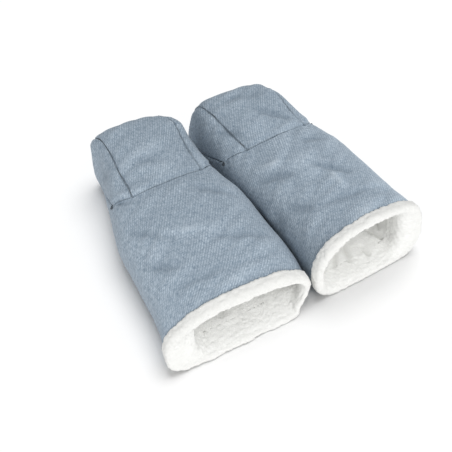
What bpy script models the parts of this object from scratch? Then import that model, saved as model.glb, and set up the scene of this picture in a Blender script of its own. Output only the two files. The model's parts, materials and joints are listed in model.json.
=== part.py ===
"""A pair of padded hand muffs that hang on a pushchair's handlebar.

Each muff is a padded sleeve with a fleece cuff, and it runs into a box-shaped hood. The hood is slit on
both sides, from a bar tack down to its far corners. The flap below the slits folds down, so that the
muff goes over the handlebar, and two press studs close it again under the hood.
Both muffs point along Y with their cuffs at -Y, and lie side by side along X on their flat soles.
All sizes are in metres, and a muff's own frame has its cuff at y = 0, its middle at x = 0 and z up.
"""

import math

import bmesh
import bpy
from mathutils import Matrix, Vector

# One muff: its lengths, its nominal half width and height, and its seams
SLEEVE_LENGTH = 0.183
HOOD_LENGTH = 0.107
HALF_WIDTH = 0.080
HEIGHT = 0.075
HOOD_END_RADIUS = 0.022
STRIP_HALF_WIDTH = 0.044

# The plies of the padded wall, from the outside in, and the space left between them
FABRIC_THICKNESS = 0.0010
WADDING_THICKNESS = 0.0036
FLEECE_THICKNESS = 0.0018
PLY_GAP = 0.0004
SEAM_GAP = 0.0005

# The fleece cuff, which turns round the rim
CUFF_TRIM_WIDTH = 0.012
CUFF_TURN_IN = 0.020
CUFF_PROUD = 0.0008

# The slit that runs from the bar tack to the hood's far lower corner
TACK_SETBACK = 0.015
TACK_HEIGHT = 0.050
SLIT_GAP = 0.0010
BAR_TACK_LENGTH = 0.0044
BAR_TACK_WIDTH = 0.0026
BAR_TACK_THICKNESS = 0.0012

# The press studs, their washers of cloth and the fits between them
STUD_PITCH = 0.040
STUD_INSET = 0.016
CAP_RADIUS = 0.0060
CAP_THICKNESS = 0.0011
CAP_CROWN_SHARE = 0.7
CAP_EDGE_SHARE = 0.4
CAP_GROUND_GAP = 0.0002
POST_RADIUS = 0.0014
POST_CLEARANCE = 0.0004
STUD_RADIUS = 0.0050
STUD_BASE = 0.0010
NIPPLE_RADIUS = 0.0019
NIPPLE_HEIGHT = 0.0018
NIPPLE_CLEARANCE = 0.0005
SOCKET_HEIGHT = 0.0026
SEAT_GAP = 0.0003
HEM_THICKNESS = 0.0016
HEM_DEPTH = 0.025
HEM_HALF_WIDTH = 0.027
TAB_THICKNESS = 0.0010
TAB_LENGTH = 0.036
FLAP_END_GAP = 0.003
FLAP_RISE_LENGTH = 0.012

# How the pair lies: the least space between the muffs, their turn, and the lean of each cuff's rim
PAIR_GAP = 0.0015
RIGHT_SETBACK = 0.0028
LEFT_CUFF_LEAN = 0.0176
RIGHT_CUFF_LEAN = 0.0045
LEAN_REACH = 0.090
TURN = math.radians(1.2)
REACH_STEPS = 14

# The section is a box with soft corners: the height of its widest line, and how its corners are rounded
BELT_SHARE = 0.45
SOLE_POWER = 3.5
SOLE_PRESS_SHARE = 1.06
END_TOP_SHARE = 0.9
END_SIDE_SHARE = 0.3
SLEEVE_STATION_SHARES = (0.0, 0.27, 0.55, 0.82, 1.0)
HOOD_STATION_SHARES = (0.30, 0.63, 1.0)
CORNER_POWERS = (2.5, 2.4, 2.4, 2.6, 3.2, 4.0, 4.5, 4.5)
TOP_TAPER_SHARES = (0.0, 0.0, 0.0, 0.02, 0.06, 0.10, 0.12, 0.12)

# Each muff slumps in its own way: shares of the half width and the height, from cuff to far end
MUFFS = {
    "left": {
        "width_shares": (1.09, 1.07, 1.03, 1.00, 0.89, 0.81, 0.75, 0.68),
        "height_shares": (0.71, 0.80, 0.86, 0.91, 0.94, 1.02, 1.13, 1.20),
        "centre_shares": (-0.17, -0.055, -0.03, -0.005, -0.005, 0.025, 0.07, 0.025),
        "strip_width_shares": (1.0, 0.955),
        "strip_centre_shares": (0.025, 0.01),
        "lean": LEFT_CUFF_LEAN,
        "turn": -TURN,
    },
    "right": {
        "width_shares": (0.90, 0.89, 0.89, 0.89, 0.855, 0.82, 0.775, 0.69),
        "height_shares": (1.15, 1.06, 1.01, 0.985, 0.97, 1.03, 1.09, 1.08),
        "centre_shares": (0.01, 0.055, 0.095, 0.09, 0.03, -0.015, -0.045, -0.09),
        "strip_width_shares": (0.97, 1.09),
        "strip_centre_shares": (0.015, 0.075),
        "lean": RIGHT_CUFF_LEAN,
        "turn": TURN,
    },
}

# How finely the cloth is faceted
GUSSET_COLUMNS = 4
STRIP_COLUMNS = 7
UNDER_COLUMNS = 14
SIDE_SEAM_COLUMN = 3
SLEEVE_ROWS = 7
FLAP_ROWS = 5
ROLL_STEPS = 5
HOOD_ROW_SHARES = (0.0, 0.27, 0.53, 0.79, 0.91, 0.97, 1.0)
ROUND_SEGMENTS = 12
BALL_SEGMENTS = 8
BALL_RINGS = 4
WELD_DISTANCE = 0.00001
ANGLE_TOLERANCE = 1e-6
ANGLE_STEP = 0.01

# Places and depths that follow from the sizes above
LENGTH = SLEEVE_LENGTH + HOOD_LENGTH
WADDING_TOP = FABRIC_THICKNESS + PLY_GAP
WADDING_BOTTOM = WADDING_TOP + WADDING_THICKNESS
LINING_TOP = WADDING_BOTTOM + PLY_GAP
LINING_BOTTOM = LINING_TOP + FLEECE_THICKNESS
CUFF_HALF_WALL = (LINING_BOTTOM + PLY_GAP + CUFF_PROUD) / 2
PANEL_START = CUFF_TRIM_WIDTH + SEAM_GAP
WADDING_START = CUFF_HALF_WALL + PLY_GAP
LINING_START = CUFF_TURN_IN + SEAM_GAP
FLAP_LIFT = CAP_GROUND_GAP + CAP_THICKNESS + SEAT_GAP
TAB_BOTTOM = FLAP_LIFT + FABRIC_THICKNESS + SEAT_GAP
STUD_BOTTOM = TAB_BOTTOM + TAB_THICKNESS + SEAT_GAP
SOCKET_BOTTOM = STUD_BOTTOM + STUD_BASE + SEAT_GAP
HEM_BOTTOM = SOCKET_BOTTOM + SOCKET_HEIGHT + SEAT_GAP
HEM_TOP = HEM_BOTTOM + HEM_THICKNESS
SLIT_FOOT = HEM_BOTTOM + SLIT_GAP
TACK_PLACE = SLEEVE_LENGTH + TACK_SETBACK
SLIT_SLOPE = (TACK_HEIGHT - SLIT_FOOT) / (LENGTH - TACK_PLACE)
# Seen from the hinge the tack is the nearest point of the slit, so the flap swings down clear of the hood
HINGE_PLACE = TACK_PLACE - TACK_HEIGHT * SLIT_SLOPE
STUD_PLACE = LENGTH - STUD_INSET
FLAP_END = LENGTH - FLAP_END_GAP
TAB_PLACE = FLAP_END - TAB_LENGTH
PADDING_END = TAB_PLACE - SEAM_GAP


def clear_scene():
    """Remove what the scene holds at the start."""
    for thing in list(bpy.data.objects):
        bpy.data.objects.remove(thing, do_unlink=True)


def make_collection(name):
    """Return a new collection in the scene."""
    collection = bpy.data.collections.new(name)
    bpy.context.scene.collection.children.link(collection)
    return collection


def make_material(name, colour, roughness, metallic=0.0):
    """Return a Principled material of one colour."""
    material = bpy.data.materials.new(name)
    material.use_nodes = True
    shader = material.node_tree.nodes["Principled BSDF"]
    shader.inputs["Base Color"].default_value = (*colour, 1.0)
    shader.inputs["Roughness"].default_value = roughness
    shader.inputs["Metallic"].default_value = metallic
    material.diffuse_color = (*colour, 1.0)
    return material


# Shape of a muff

def smooth_value(places, values, place):
    """Read a smooth curve through the values at one place."""
    last = len(places) - 2
    index = max(0, min(last, sum(1 for limit in places[1:-1] if place >= limit)))
    step = places[index + 1] - places[index]
    chord = (values[index + 1] - values[index]) / step
    before = chord
    if index > 0:
        before = (values[index + 1] - values[index - 1]) / (places[index + 1] - places[index - 1])
    after = chord
    if index < last:
        after = (values[index + 2] - values[index]) / (places[index + 2] - places[index])
    t = max(0.0, min(1.0, (place - places[index]) / step))
    rest = 1.0 - t
    return (rest * rest * (1.0 + 2.0 * t) * values[index] + t * t * (3.0 - 2.0 * t) * values[index + 1]
            + rest * t * step * (rest * before - t * after))


def stations():
    """Places along the muff where its shares are given."""
    sleeve = [SLEEVE_LENGTH * share for share in SLEEVE_STATION_SHARES]
    hood = [SLEEVE_LENGTH + HOOD_LENGTH * share for share in HOOD_STATION_SHARES]
    return sleeve + hood


def profile(muff, place):
    """Half width, height, middle, corner power and taper of the outline at one place."""
    places = stations()
    return (
        HALF_WIDTH * smooth_value(places, muff["width_shares"], place),
        HEIGHT * smooth_value(places, muff["height_shares"], place),
        HALF_WIDTH * smooth_value(places, muff["centre_shares"], place),
        smooth_value(places, CORNER_POWERS, place),
        smooth_value(places, TOP_TAPER_SHARES, place),
    )


def ply_outline(muff, place, depth):
    """The outline of a ply that lies this deep in the wall, with the hood's end rounded off."""
    half_width, height, centre, power, taper = profile(muff, place)
    belt = BELT_SHARE * height
    over = min(max(place - (LENGTH - depth - HOOD_END_RADIUS), 0.0), HOOD_END_RADIUS)
    drop = HOOD_END_RADIUS - math.sqrt(HOOD_END_RADIUS ** 2 - over ** 2)
    top = height - depth - END_TOP_SHARE * drop
    side = half_width - depth - END_SIDE_SHARE * drop
    return side, top, belt, centre, power, taper


def section_point(muff, place, angle, depth, lift=0.0):
    """Point of a ply's section at an angle that runs from +X over the top."""
    side, top, belt, centre, power, taper = ply_outline(muff, place, depth)
    cosine = math.cos(angle)
    sine = math.sin(angle)
    if sine >= 0.0:
        rise = sine ** (2.0 / power)
        out = abs(cosine) ** (2.0 / power) * (1.0 - taper * rise)
        z = belt + (top - belt) * rise
    else:
        fall = min(SOLE_PRESS_SHARE * abs(sine) ** (2.0 / SOLE_POWER), 1.0)
        out = abs(cosine) ** (2.0 / SOLE_POWER)
        z = belt - (belt - depth - lift) * fall
    x = centre + math.copysign(side * out, cosine)
    return x, max(z, 0.0)


def angle_at_height(muff, place, height, depth, lift=0.0):
    """Angle on the right-hand side at which a ply's section has this height."""
    _, top, belt, _, power, _ = ply_outline(muff, place, depth)
    if height >= belt:
        return math.asin(min((height - belt) / (top - belt), 1.0) ** (power / 2.0))
    fall = min((belt - height) / ((belt - depth - lift) * SOLE_PRESS_SHARE), 1.0)
    return -math.asin(fall ** (SOLE_POWER / 2.0))


def angle_at_x(muff, place, x):
    """Angle on the upper half at which the outside has this x."""
    low, high = 0.0, math.pi
    while high - low > ANGLE_TOLERANCE:
        middle = (low + high) / 2.0
        if section_point(muff, place, middle, 0.0)[0] > x:
            low = middle
        else:
            high = middle
    return low


def surface_point(muff, place, angle, depth, lift=0.0):
    """Point of a ply in the muff's own frame, with the lean of the cuff."""
    x, z = section_point(muff, place, angle, depth, lift)
    height = profile(muff, place)[1]
    lean = muff["lean"] * (z - height / 2) / height * max(0.0, 1.0 - max(place, 0.0) / LEAN_REACH)
    return Vector((x, place + lean, z))


def slit_height(place):
    """Height of the middle of the slit."""
    return TACK_HEIGHT - SLIT_SLOPE * (place - TACK_PLACE)


def spread(start, end, count):
    """Evenly spaced values from start to end, both included."""
    return [start + (end - start) * step / count for step in range(count + 1)]


def strip_edges(muff, place):
    """Angles of the two seams beside the hood's top strip."""
    share = max(0.0, (place - SLEEVE_LENGTH) / HOOD_LENGTH)
    near_width, far_width = muff["strip_width_shares"]
    near_centre, far_centre = muff["strip_centre_shares"]
    half = STRIP_HALF_WIDTH * (near_width + (far_width - near_width) * share)
    middle = profile(muff, place)[2] + HALF_WIDTH * (near_centre + (far_centre - near_centre) * share)
    return angle_at_x(muff, place, middle + half), angle_at_x(muff, place, middle - half)


def slit_angle(muff, place, depth, offset=0.0, lift=0.0, rim_floor=0.0):
    """Angle of a ply's edge on the right-hand slit, offset up or down from the slit's middle."""
    past = max(place, TACK_PLACE)
    height = max(slit_height(past) + offset, rim_floor)
    return angle_at_height(muff, past, height, depth, lift)


def hood_angles(muff, place, rim):
    """Column angles over the hood, from the right slit to the left; rim is the right slit's angle."""
    right, left = strip_edges(muff, max(place, TACK_PLACE))
    start = slit_angle(muff, place, 0.0)
    angles = spread(start, right, GUSSET_COLUMNS)
    angles += spread(right, left, STRIP_COLUMNS)[1:]
    angles += spread(left, math.pi - start, GUSSET_COLUMNS)[1:]
    angles[0] = rim
    angles[-1] = math.pi - rim
    return angles


def under_angles(muff, place, rim):
    """Column angles below the slits, from the left slit round the sole to the right."""
    start = slit_angle(muff, place, 0.0)
    angles = spread(math.pi - start, 2.0 * math.pi + start, UNDER_COLUMNS)
    angles[0] = math.pi - rim
    angles[-1] = 2.0 * math.pi + rim
    return angles


def ring_angles(muff, depth):
    """Column angles all round the sleeve, which the hood's and the flap's columns go on from."""
    rim = slit_angle(muff, TACK_PLACE, depth)
    return hood_angles(muff, TACK_PLACE, rim)[:-1] + under_angles(muff, TACK_PLACE, rim)[:-1]


def hood_starts():
    """Places where the hood begins, column by column: the cross seam drops forward to the tacks."""
    side = spread(TACK_PLACE, SLEEVE_LENGTH, GUSSET_COLUMNS)
    return side + [SLEEVE_LENGTH] * (STRIP_COLUMNS - 1) + side[::-1]


def under_starts(muff):
    """Places where the flap begins, column by column: straight from the hinge to the tacks."""
    rim = slit_angle(muff, TACK_PLACE, 0.0)
    starts = []
    for angle in under_angles(muff, TACK_PLACE, rim):
        height = section_point(muff, TACK_PLACE, angle, 0.0)[1]
        starts.append(HINGE_PLACE + (TACK_PLACE - HINGE_PLACE) * min(height / TACK_HEIGHT, 1.0))
    return starts


def sleeve_grid(muff, start, depth):
    """Rows of a sleeve ply, from the cuff to where the hood and the flap begin."""
    angles = ring_angles(muff, depth)
    ends = hood_starts()[:-1] + under_starts(muff)[:-1]
    grid_columns = []
    for angle, end in zip(angles, ends):
        places = spread(LINING_START, end - SEAM_GAP / 2, SLEEVE_ROWS)
        if start < LINING_START:
            places = [start] + places
        grid_columns.append([surface_point(muff, place, angle, depth) for place in places])
    return [list(row) for row in zip(*grid_columns)]


def hood_grid(muff, depth, rim_floor=0.0):
    """Rows of a hood ply, from the cross seam to the far end, down to the slits."""
    rows = []
    for share in HOOD_ROW_SHARES:
        row = []
        for column, start in enumerate(hood_starts()):
            first = start + SEAM_GAP / 2
            place = first + (LENGTH - depth - first) * share
            rim = slit_angle(muff, place, depth, SLIT_GAP / 2, 0.0, rim_floor)
            angle = hood_angles(muff, place, rim)[column]
            row.append(surface_point(muff, place, angle, depth))
        rows.append(row)
    return rows


def flap_row_places(start, whole):
    """Places of one column's rows: along the padding and, on the whole flap, on to its end."""
    first = start + SEAM_GAP / 2
    places = spread(first, PADDING_END, FLAP_ROWS)
    if whole:
        places += spread(PADDING_END + FLAP_RISE_LENGTH, FLAP_END, 1)
    return places


def flap_grid(muff, depth, whole=False):
    """Rows of a flap ply, from the hinge up to the slits, as far as the padding or the whole flap."""
    grid_columns = []
    for column, start in enumerate(under_starts(muff)):
        points = []
        for place in flap_row_places(start, whole):
            rise_share = min(max((place - PADDING_END) / FLAP_RISE_LENGTH, 0.0), 1.0)
            lift = FLAP_LIFT * rise_share
            rim = slit_angle(muff, place, depth, -SLIT_GAP / 2, lift)
            angle = under_angles(muff, place, rim)[column]
            points.append(surface_point(muff, place, angle, depth, lift))
        grid_columns.append(points)
    return [list(row) for row in zip(*grid_columns)]


def far_wall_rows(muff, last_row, depth):
    """Rows of the hood strip's far wall, down to the hem beside the columns of the two gussets."""
    inset = FABRIC_THICKNESS + 3 * SEAM_GAP
    rim = slit_angle(muff, LENGTH, 0.0)
    angles = hood_angles(muff, LENGTH, rim)
    foot = angle_at_height(muff, LENGTH, HEM_BOTTOM, inset)
    right_angles = angles[GUSSET_COLUMNS - 1:0:-1] + [foot]
    left_angles = angles[-GUSSET_COLUMNS:-1] + [math.pi - foot]
    place = LENGTH - depth
    rows = []
    for right_angle, left_angle in zip(right_angles, left_angles):
        right_x, right_z = section_point(muff, LENGTH, right_angle, inset)
        left_x, left_z = section_point(muff, LENGTH, left_angle, inset)
        right_share = (right_z - HEM_BOTTOM) / (last_row[0].z - HEM_BOTTOM)
        left_share = (left_z - HEM_BOTTOM) / (last_row[-1].z - HEM_BOTTOM)
        row = []
        for point in last_row:
            across = (point.x - last_row[0].x) / (last_row[-1].x - last_row[0].x)
            share = right_share + (left_share - right_share) * across
            x = right_x + (left_x - right_x) * across
            row.append(Vector((x, place, HEM_BOTTOM + (point.z - HEM_BOTTOM) * share)))
        rows.append(row)
    return rows


# From grids of points to solids

def pulled_in(rows, distance, first=True, last=True):
    """The rows with their first and last columns drawn in, which leaves half a seam's gap."""
    result = []
    for row in rows:
        row = list(row)
        if first:
            row[0] = row[0] + (row[1] - row[0]).normalized() * distance
        if last:
            row[-1] = row[-1] + (row[-2] - row[-1]).normalized() * distance
        result.append(row)
    return result


def strip_of_faces(mesh, one, other, closed):
    """Faces between two rows of vertices."""
    count = len(one)
    for index in range(count if closed else count - 1):
        following = (index + 1) % count
        mesh.faces.new((one[index], one[following], other[following], other[index]))


def mesh_object(name, mesh, collection, material, parent, origin):
    """Turn a bmesh in the muff's own frame into an object under its empty."""
    bmesh.ops.recalc_face_normals(mesh, faces=mesh.faces)
    bmesh.ops.translate(mesh, verts=mesh.verts, vec=-origin)
    data = bpy.data.meshes.new(name)
    mesh.to_mesh(data)
    mesh.free()
    thing = bpy.data.objects.new(name, data)
    thing.data.materials.append(material)
    thing.parent = parent
    collection.objects.link(thing)
    return thing


def shell_mesh(outer, inner, closed=False, capped=False):
    """Close two grids of points, one inside the other, into one ply of cloth."""
    mesh = bmesh.new()
    grids = []
    for rows in (outer, inner):
        grid = [[mesh.verts.new(point) for point in row] for row in rows]
        for one, other in zip(grid[:-1], grid[1:]):
            strip_of_faces(mesh, one, other, closed)
        grids.append(grid)
    outside, inside = grids
    strip_of_faces(mesh, outside[0], inside[0], closed)
    if capped:
        mesh.faces.new(outside[-1])
        mesh.faces.new(inside[-1])
        mesh.faces.new((outside[-1][0], outside[-1][-1], inside[-1][-1], inside[-1][0]))
    else:
        strip_of_faces(mesh, outside[-1], inside[-1], closed)
    if not closed:
        for edge in (0, -1):
            strip_of_faces(mesh, [row[edge] for row in outside], [row[edge] for row in inside], False)
    return mesh


def columns(rows, first, last):
    """The columns from first to last of a grid, both included."""
    return [row[first:last + 1] for row in rows]


def add_turned(name, outline, place, collection, material, parent, origin):
    """A turned piece: its outline runs from the axis at the top down to the axis at the foot."""
    data = bpy.data.meshes.new(name)
    points = [(radius, 0.0, height) for radius, height in outline]
    data.from_pydata(points, [(index, index + 1) for index in range(len(points) - 1)], [])
    thing = bpy.data.objects.new(name, data)
    thing.data.materials.append(material)
    thing.location = place - origin
    thing.parent = parent
    collection.objects.link(thing)
    screw = thing.modifiers.new("turn", "SCREW")
    screw.steps = ROUND_SEGMENTS
    screw.render_steps = ROUND_SEGMENTS
    screw.use_merge_vertices = True
    screw.merge_threshold = WELD_DISTANCE
    return thing


def add_plate(name, low, high, collection, material, parent, origin):
    """A flat piece of cloth between two corners."""
    mesh = bmesh.new()
    size = high - low
    matrix = Matrix.Translation((low + high) / 2) @ Matrix.Diagonal((*size, 1.0))
    bmesh.ops.create_cube(mesh, size=1.0, matrix=matrix)
    return mesh_object(name, mesh, collection, material, parent, origin)


def pierce(thing, name, places, low, high, cutters, parent, origin):
    """Cut a post's hole through a piece of cloth at each place."""
    for number, place in enumerate(places, start=1):
        mesh = bmesh.new()
        radius = POST_RADIUS + POST_CLEARANCE
        depth = high - low
        middle = Vector((place.x, place.y, (low + high) / 2))
        bmesh.ops.create_cone(mesh, cap_ends=True, segments=ROUND_SEGMENTS, radius1=radius,
                              radius2=radius, depth=depth, matrix=Matrix.Translation(middle))
        cutter = mesh_object(f"{name}_cutter_{number}", mesh, cutters, thing.active_material, parent, origin)
        cutter.hide_render = True
        cutter.display_type = "WIRE"
        hole = thing.modifiers.new(f"post_hole_{number}", "BOOLEAN")
        hole.operation = "DIFFERENCE"
        hole.object = cutter


# The pieces of a muff

def add_sleeve(side, muff, collection, paint, parent):
    """The sleeve's four plies: two outer panels, wadding and fleece lining."""
    origin = Vector()
    half_gap = SEAM_GAP / 2
    outer = sleeve_grid(muff, PANEL_START, 0.0)
    inner = sleeve_grid(muff, PANEL_START, FABRIC_THICKNESS)
    over_count = 2 * GUSSET_COLUMNS + STRIP_COLUMNS
    turned_outer = [row[-SIDE_SEAM_COLUMN:] + row[:over_count + SIDE_SEAM_COLUMN + 1] for row in outer]
    turned_inner = [row[-SIDE_SEAM_COLUMN:] + row[:over_count + SIDE_SEAM_COLUMN + 1] for row in inner]
    top = shell_mesh(pulled_in(turned_outer, half_gap), pulled_in(turned_inner, half_gap))
    mesh_object(f"{side}_sleeve_top_panel", top, collection, paint["cloth"], parent, origin)
    first = over_count + SIDE_SEAM_COLUMN
    last = over_count + UNDER_COLUMNS - SIDE_SEAM_COLUMN
    under = shell_mesh(pulled_in(columns(outer, first, last), half_gap),
                       pulled_in(columns(inner, first, last), half_gap))
    mesh_object(f"{side}_sleeve_under_panel", under, collection, paint["cloth"], parent, origin)
    wadding = shell_mesh(sleeve_grid(muff, WADDING_START, WADDING_TOP),
                         sleeve_grid(muff, WADDING_START, WADDING_BOTTOM), closed=True)
    mesh_object(f"{side}_sleeve_wadding", wadding, collection, paint["wadding"], parent, origin)
    lining = shell_mesh(sleeve_grid(muff, LINING_START, LINING_TOP),
                        sleeve_grid(muff, LINING_START, LINING_BOTTOM), closed=True)
    mesh_object(f"{side}_sleeve_lining", lining, collection, paint["fleece"], parent, origin)


def cuff_outline():
    """Places and depths round the cuff's fold: out along the trim, round the rim and in."""
    middle = CUFF_HALF_WALL - CUFF_PROUD
    points = [(CUFF_TRIM_WIDTH, -CUFF_PROUD)]
    for turn in spread(0.0, math.pi, ROLL_STEPS):
        points.append((CUFF_HALF_WALL * (1.0 - math.sin(turn)), middle - CUFF_HALF_WALL * math.cos(turn)))
    points.append((CUFF_TURN_IN, middle + CUFF_HALF_WALL))
    inside = CUFF_HALF_WALL - FLEECE_THICKNESS
    points.append((CUFF_TURN_IN, middle + inside))
    for turn in spread(math.pi, 0.0, ROLL_STEPS - 1):
        points.append((CUFF_HALF_WALL - inside * math.sin(turn), middle - inside * math.cos(turn)))
    points.append((CUFF_TRIM_WIDTH, middle - inside))
    return points


def add_cuff(side, muff, collection, paint, parent):
    """The fleece band that is folded round the sleeve's rim."""
    angles = ring_angles(muff, 0.0)
    mesh = bmesh.new()
    rings = []
    for place, depth in cuff_outline():
        rings.append([mesh.verts.new(surface_point(muff, place, angle, depth)) for angle in angles])
    for one, other in zip(rings, rings[1:] + rings[:1]):
        strip_of_faces(mesh, one, other, True)
    mesh_object(f"{side}_cuff_fleece", mesh, collection, paint["fleece"], parent, Vector())


def add_hood(side, muff, collection, paint, parent):
    """The hood's outer strip and gussets, its wadding and its fleece lining."""
    origin = Vector()
    half_gap = SEAM_GAP / 2
    outer = hood_grid(muff, 0.0)
    inner = hood_grid(muff, FABRIC_THICKNESS)
    left_seam = GUSSET_COLUMNS + STRIP_COLUMNS
    strips = []
    for rows, depth in ((outer, 0.0), (inner, FABRIC_THICKNESS)):
        strip = pulled_in(columns(rows, GUSSET_COLUMNS, left_seam), half_gap)
        strip[-1] = pulled_in(strip[-1:], FABRIC_THICKNESS)[0]
        strips.append(strip + far_wall_rows(muff, strip[-1], depth))
    mesh_object(f"{side}_hood_top_panel", shell_mesh(*strips), collection, paint["cloth"], parent, origin)
    for name, start in (("right", 0), ("left", left_seam)):
        gusset = []
        for rows in (outer, inner):
            kept = columns(rows, start, start + GUSSET_COLUMNS)
            gusset.append(pulled_in(kept, half_gap, first=name == "left", last=name == "right"))
        mesh_object(f"{side}_hood_{name}_gusset", shell_mesh(*gusset), collection, paint["cloth"],
                    parent, origin)
    rim_floor = HEM_TOP + PLY_GAP
    for name, top, bottom, material in (
        ("wadding", WADDING_TOP, WADDING_BOTTOM, paint["wadding"]),
        ("lining", LINING_TOP, LINING_BOTTOM, paint["fleece"]),
    ):
        ply = shell_mesh(hood_grid(muff, top, rim_floor), hood_grid(muff, bottom, rim_floor), capped=True)
        mesh_object(f"{side}_hood_{name}", ply, collection, material, parent, origin)


def stud_places(muff):
    """Where the two press studs stand."""
    centre = profile(muff, STUD_PLACE)[2]
    return [Vector((centre + side * STUD_PITCH / 2, STUD_PLACE, 0.0)) for side in (-1, 1)]


def add_hem(side, muff, collection, cutters, paint, parent):
    """The facing behind the hood's lower edge, and the sockets that it carries."""
    centre = profile(muff, STUD_PLACE)[2]
    far = LENGTH - FABRIC_THICKNESS - PLY_GAP
    low = Vector((centre - HEM_HALF_WIDTH, far - HEM_DEPTH, HEM_BOTTOM))
    high = Vector((centre + HEM_HALF_WIDTH, far, HEM_TOP))
    name = f"{side}_hood_hem_facing"
    origin = Vector()
    hem = add_plate(name, low, high, collection, paint["cloth"], parent, origin)
    places = stud_places(muff)
    pierce(hem, name, places, HEM_BOTTOM - SEAT_GAP, HEM_TOP + SEAT_GAP, cutters, parent, origin)
    mouth_radius = NIPPLE_RADIUS + NIPPLE_CLEARANCE
    mouth_top = NIPPLE_HEIGHT - SEAT_GAP + NIPPLE_CLEARANCE
    socket = [(0.0, SOCKET_HEIGHT), (STUD_RADIUS, SOCKET_HEIGHT), (STUD_RADIUS, 0.0),
              (mouth_radius, 0.0), (mouth_radius, mouth_top), (0.0, mouth_top)]
    post = HEM_THICKNESS + SEAT_GAP
    cap = [(0.0, CAP_THICKNESS), (CAP_RADIUS * CAP_CROWN_SHARE, CAP_THICKNESS),
           (CAP_RADIUS, CAP_THICKNESS * CAP_EDGE_SHARE), (CAP_RADIUS, 0.0), (POST_RADIUS, 0.0),
           (POST_RADIUS, -post), (0.0, -post)]
    for number, place in enumerate(places, start=1):
        seat = place + Vector((0.0, 0.0, SOCKET_BOTTOM))
        add_turned(f"{side}_stud_socket_{number}", socket, seat, collection, paint["metal"], parent, origin)
        seat = place + Vector((0.0, 0.0, HEM_TOP + SEAT_GAP))
        add_turned(f"{side}_socket_cap_{number}", cap, seat, collection, paint["metal"], parent, origin)


def add_flap(side, muff, collection, cutters, paint, hinge):
    """The flap under the hood: three plies, the tab behind its end and the studs on it."""
    origin = Vector((0.0, HINGE_PLACE, 0.0))
    outer = shell_mesh(flap_grid(muff, 0.0, True), flap_grid(muff, FABRIC_THICKNESS, True))
    name = f"{side}_flap_outer"
    cloth = mesh_object(name, outer, collection, paint["cloth"], hinge, origin)
    places = stud_places(muff)
    pierce(cloth, name, places, FLAP_LIFT - SEAT_GAP, TAB_BOTTOM, cutters, hinge, origin)
    wadding = shell_mesh(flap_grid(muff, WADDING_TOP), flap_grid(muff, WADDING_BOTTOM))
    mesh_object(f"{side}_flap_wadding", wadding, collection, paint["wadding"], hinge, origin)
    lining = shell_mesh(flap_grid(muff, LINING_TOP), flap_grid(muff, LINING_BOTTOM))
    mesh_object(f"{side}_flap_lining", lining, collection, paint["fleece"], hinge, origin)
    centre = profile(muff, STUD_PLACE)[2]
    low = Vector((centre - HEM_HALF_WIDTH, TAB_PLACE, TAB_BOTTOM))
    high = Vector((centre + HEM_HALF_WIDTH, FLAP_END, TAB_BOTTOM + TAB_THICKNESS))
    name = f"{side}_flap_tab"
    tab = add_plate(name, low, high, collection, paint["cloth"], hinge, origin)
    pierce(tab, name, places, TAB_BOTTOM - SEAT_GAP, high.z + SEAT_GAP, cutters, hinge, origin)
    stud = [(0.0, STUD_BASE + NIPPLE_HEIGHT), (NIPPLE_RADIUS, STUD_BASE + NIPPLE_HEIGHT),
            (NIPPLE_RADIUS, STUD_BASE), (STUD_RADIUS, STUD_BASE), (STUD_RADIUS, 0.0), (0.0, 0.0)]
    post = SEAT_GAP + FABRIC_THICKNESS + SEAT_GAP + TAB_THICKNESS
    edge = CAP_THICKNESS * (1.0 - CAP_EDGE_SHARE)
    cap = [(0.0, CAP_THICKNESS + post), (POST_RADIUS, CAP_THICKNESS + post), (POST_RADIUS, CAP_THICKNESS),
           (CAP_RADIUS, CAP_THICKNESS), (CAP_RADIUS, edge), (CAP_RADIUS * CAP_CROWN_SHARE, 0.0),
           (0.0, 0.0)]
    for number, place in enumerate(places, start=1):
        seat = place + Vector((0.0, 0.0, STUD_BOTTOM))
        add_turned(f"{side}_stud_{number}", stud, seat, collection, paint["metal"], hinge, origin)
        seat = place + Vector((0.0, 0.0, CAP_GROUND_GAP))
        add_turned(f"{side}_stud_cap_{number}", cap, seat, collection, paint["metal"], hinge, origin)


def add_bar_tacks(side, muff, collection, paint, parent):
    """The thread bar across the inner end of each slit."""
    place = TACK_PLACE - BAR_TACK_WIDTH
    angle = angle_at_height(muff, place, TACK_HEIGHT, 0.0)
    for name, turn in (("right", angle), ("left", math.pi - angle)):
        middle = surface_point(muff, place, turn, 0.0)
        along = (surface_point(muff, place + BAR_TACK_WIDTH, turn, 0.0) - middle).normalized()
        up = (surface_point(muff, place, turn + ANGLE_STEP, 0.0) - middle).normalized()
        out = along.cross(up).normalized()
        if out.dot(middle - Vector((profile(muff, place)[2], place, TACK_HEIGHT))) < 0.0:
            out = -out
        up = out.cross(along)
        frame = Matrix((along, up, out)).transposed().to_4x4()
        size = Vector((BAR_TACK_WIDTH, BAR_TACK_LENGTH, BAR_TACK_THICKNESS)) / 2
        seat = middle + out * (SEAT_GAP + BAR_TACK_THICKNESS / 2)
        mesh = bmesh.new()
        matrix = Matrix.Translation(seat) @ frame @ Matrix.Diagonal((*size, 1.0))
        bmesh.ops.create_uvsphere(mesh, u_segments=BALL_SEGMENTS, v_segments=BALL_RINGS, radius=1.0,
                                  matrix=matrix)
        mesh_object(f"{side}_{name}_bar_tack", mesh, collection, paint["thread"], parent, Vector())


# How the two muffs lie

def side_reach(muff, sign):
    """How far the muff's side reaches across, place by place, with its turn."""
    reach = []
    for place in spread(CUFF_TRIM_WIDTH, LENGTH, REACH_STEPS):
        side, _, _, centre, _, _ = ply_outline(muff, place, 0.0)
        proud = CUFF_PROUD if place <= CUFF_TRIM_WIDTH else 0.0
        edge = centre + sign * (side + proud)
        reach.append(edge * math.cos(muff["turn"]) - place * math.sin(muff["turn"]))
    return reach


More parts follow.
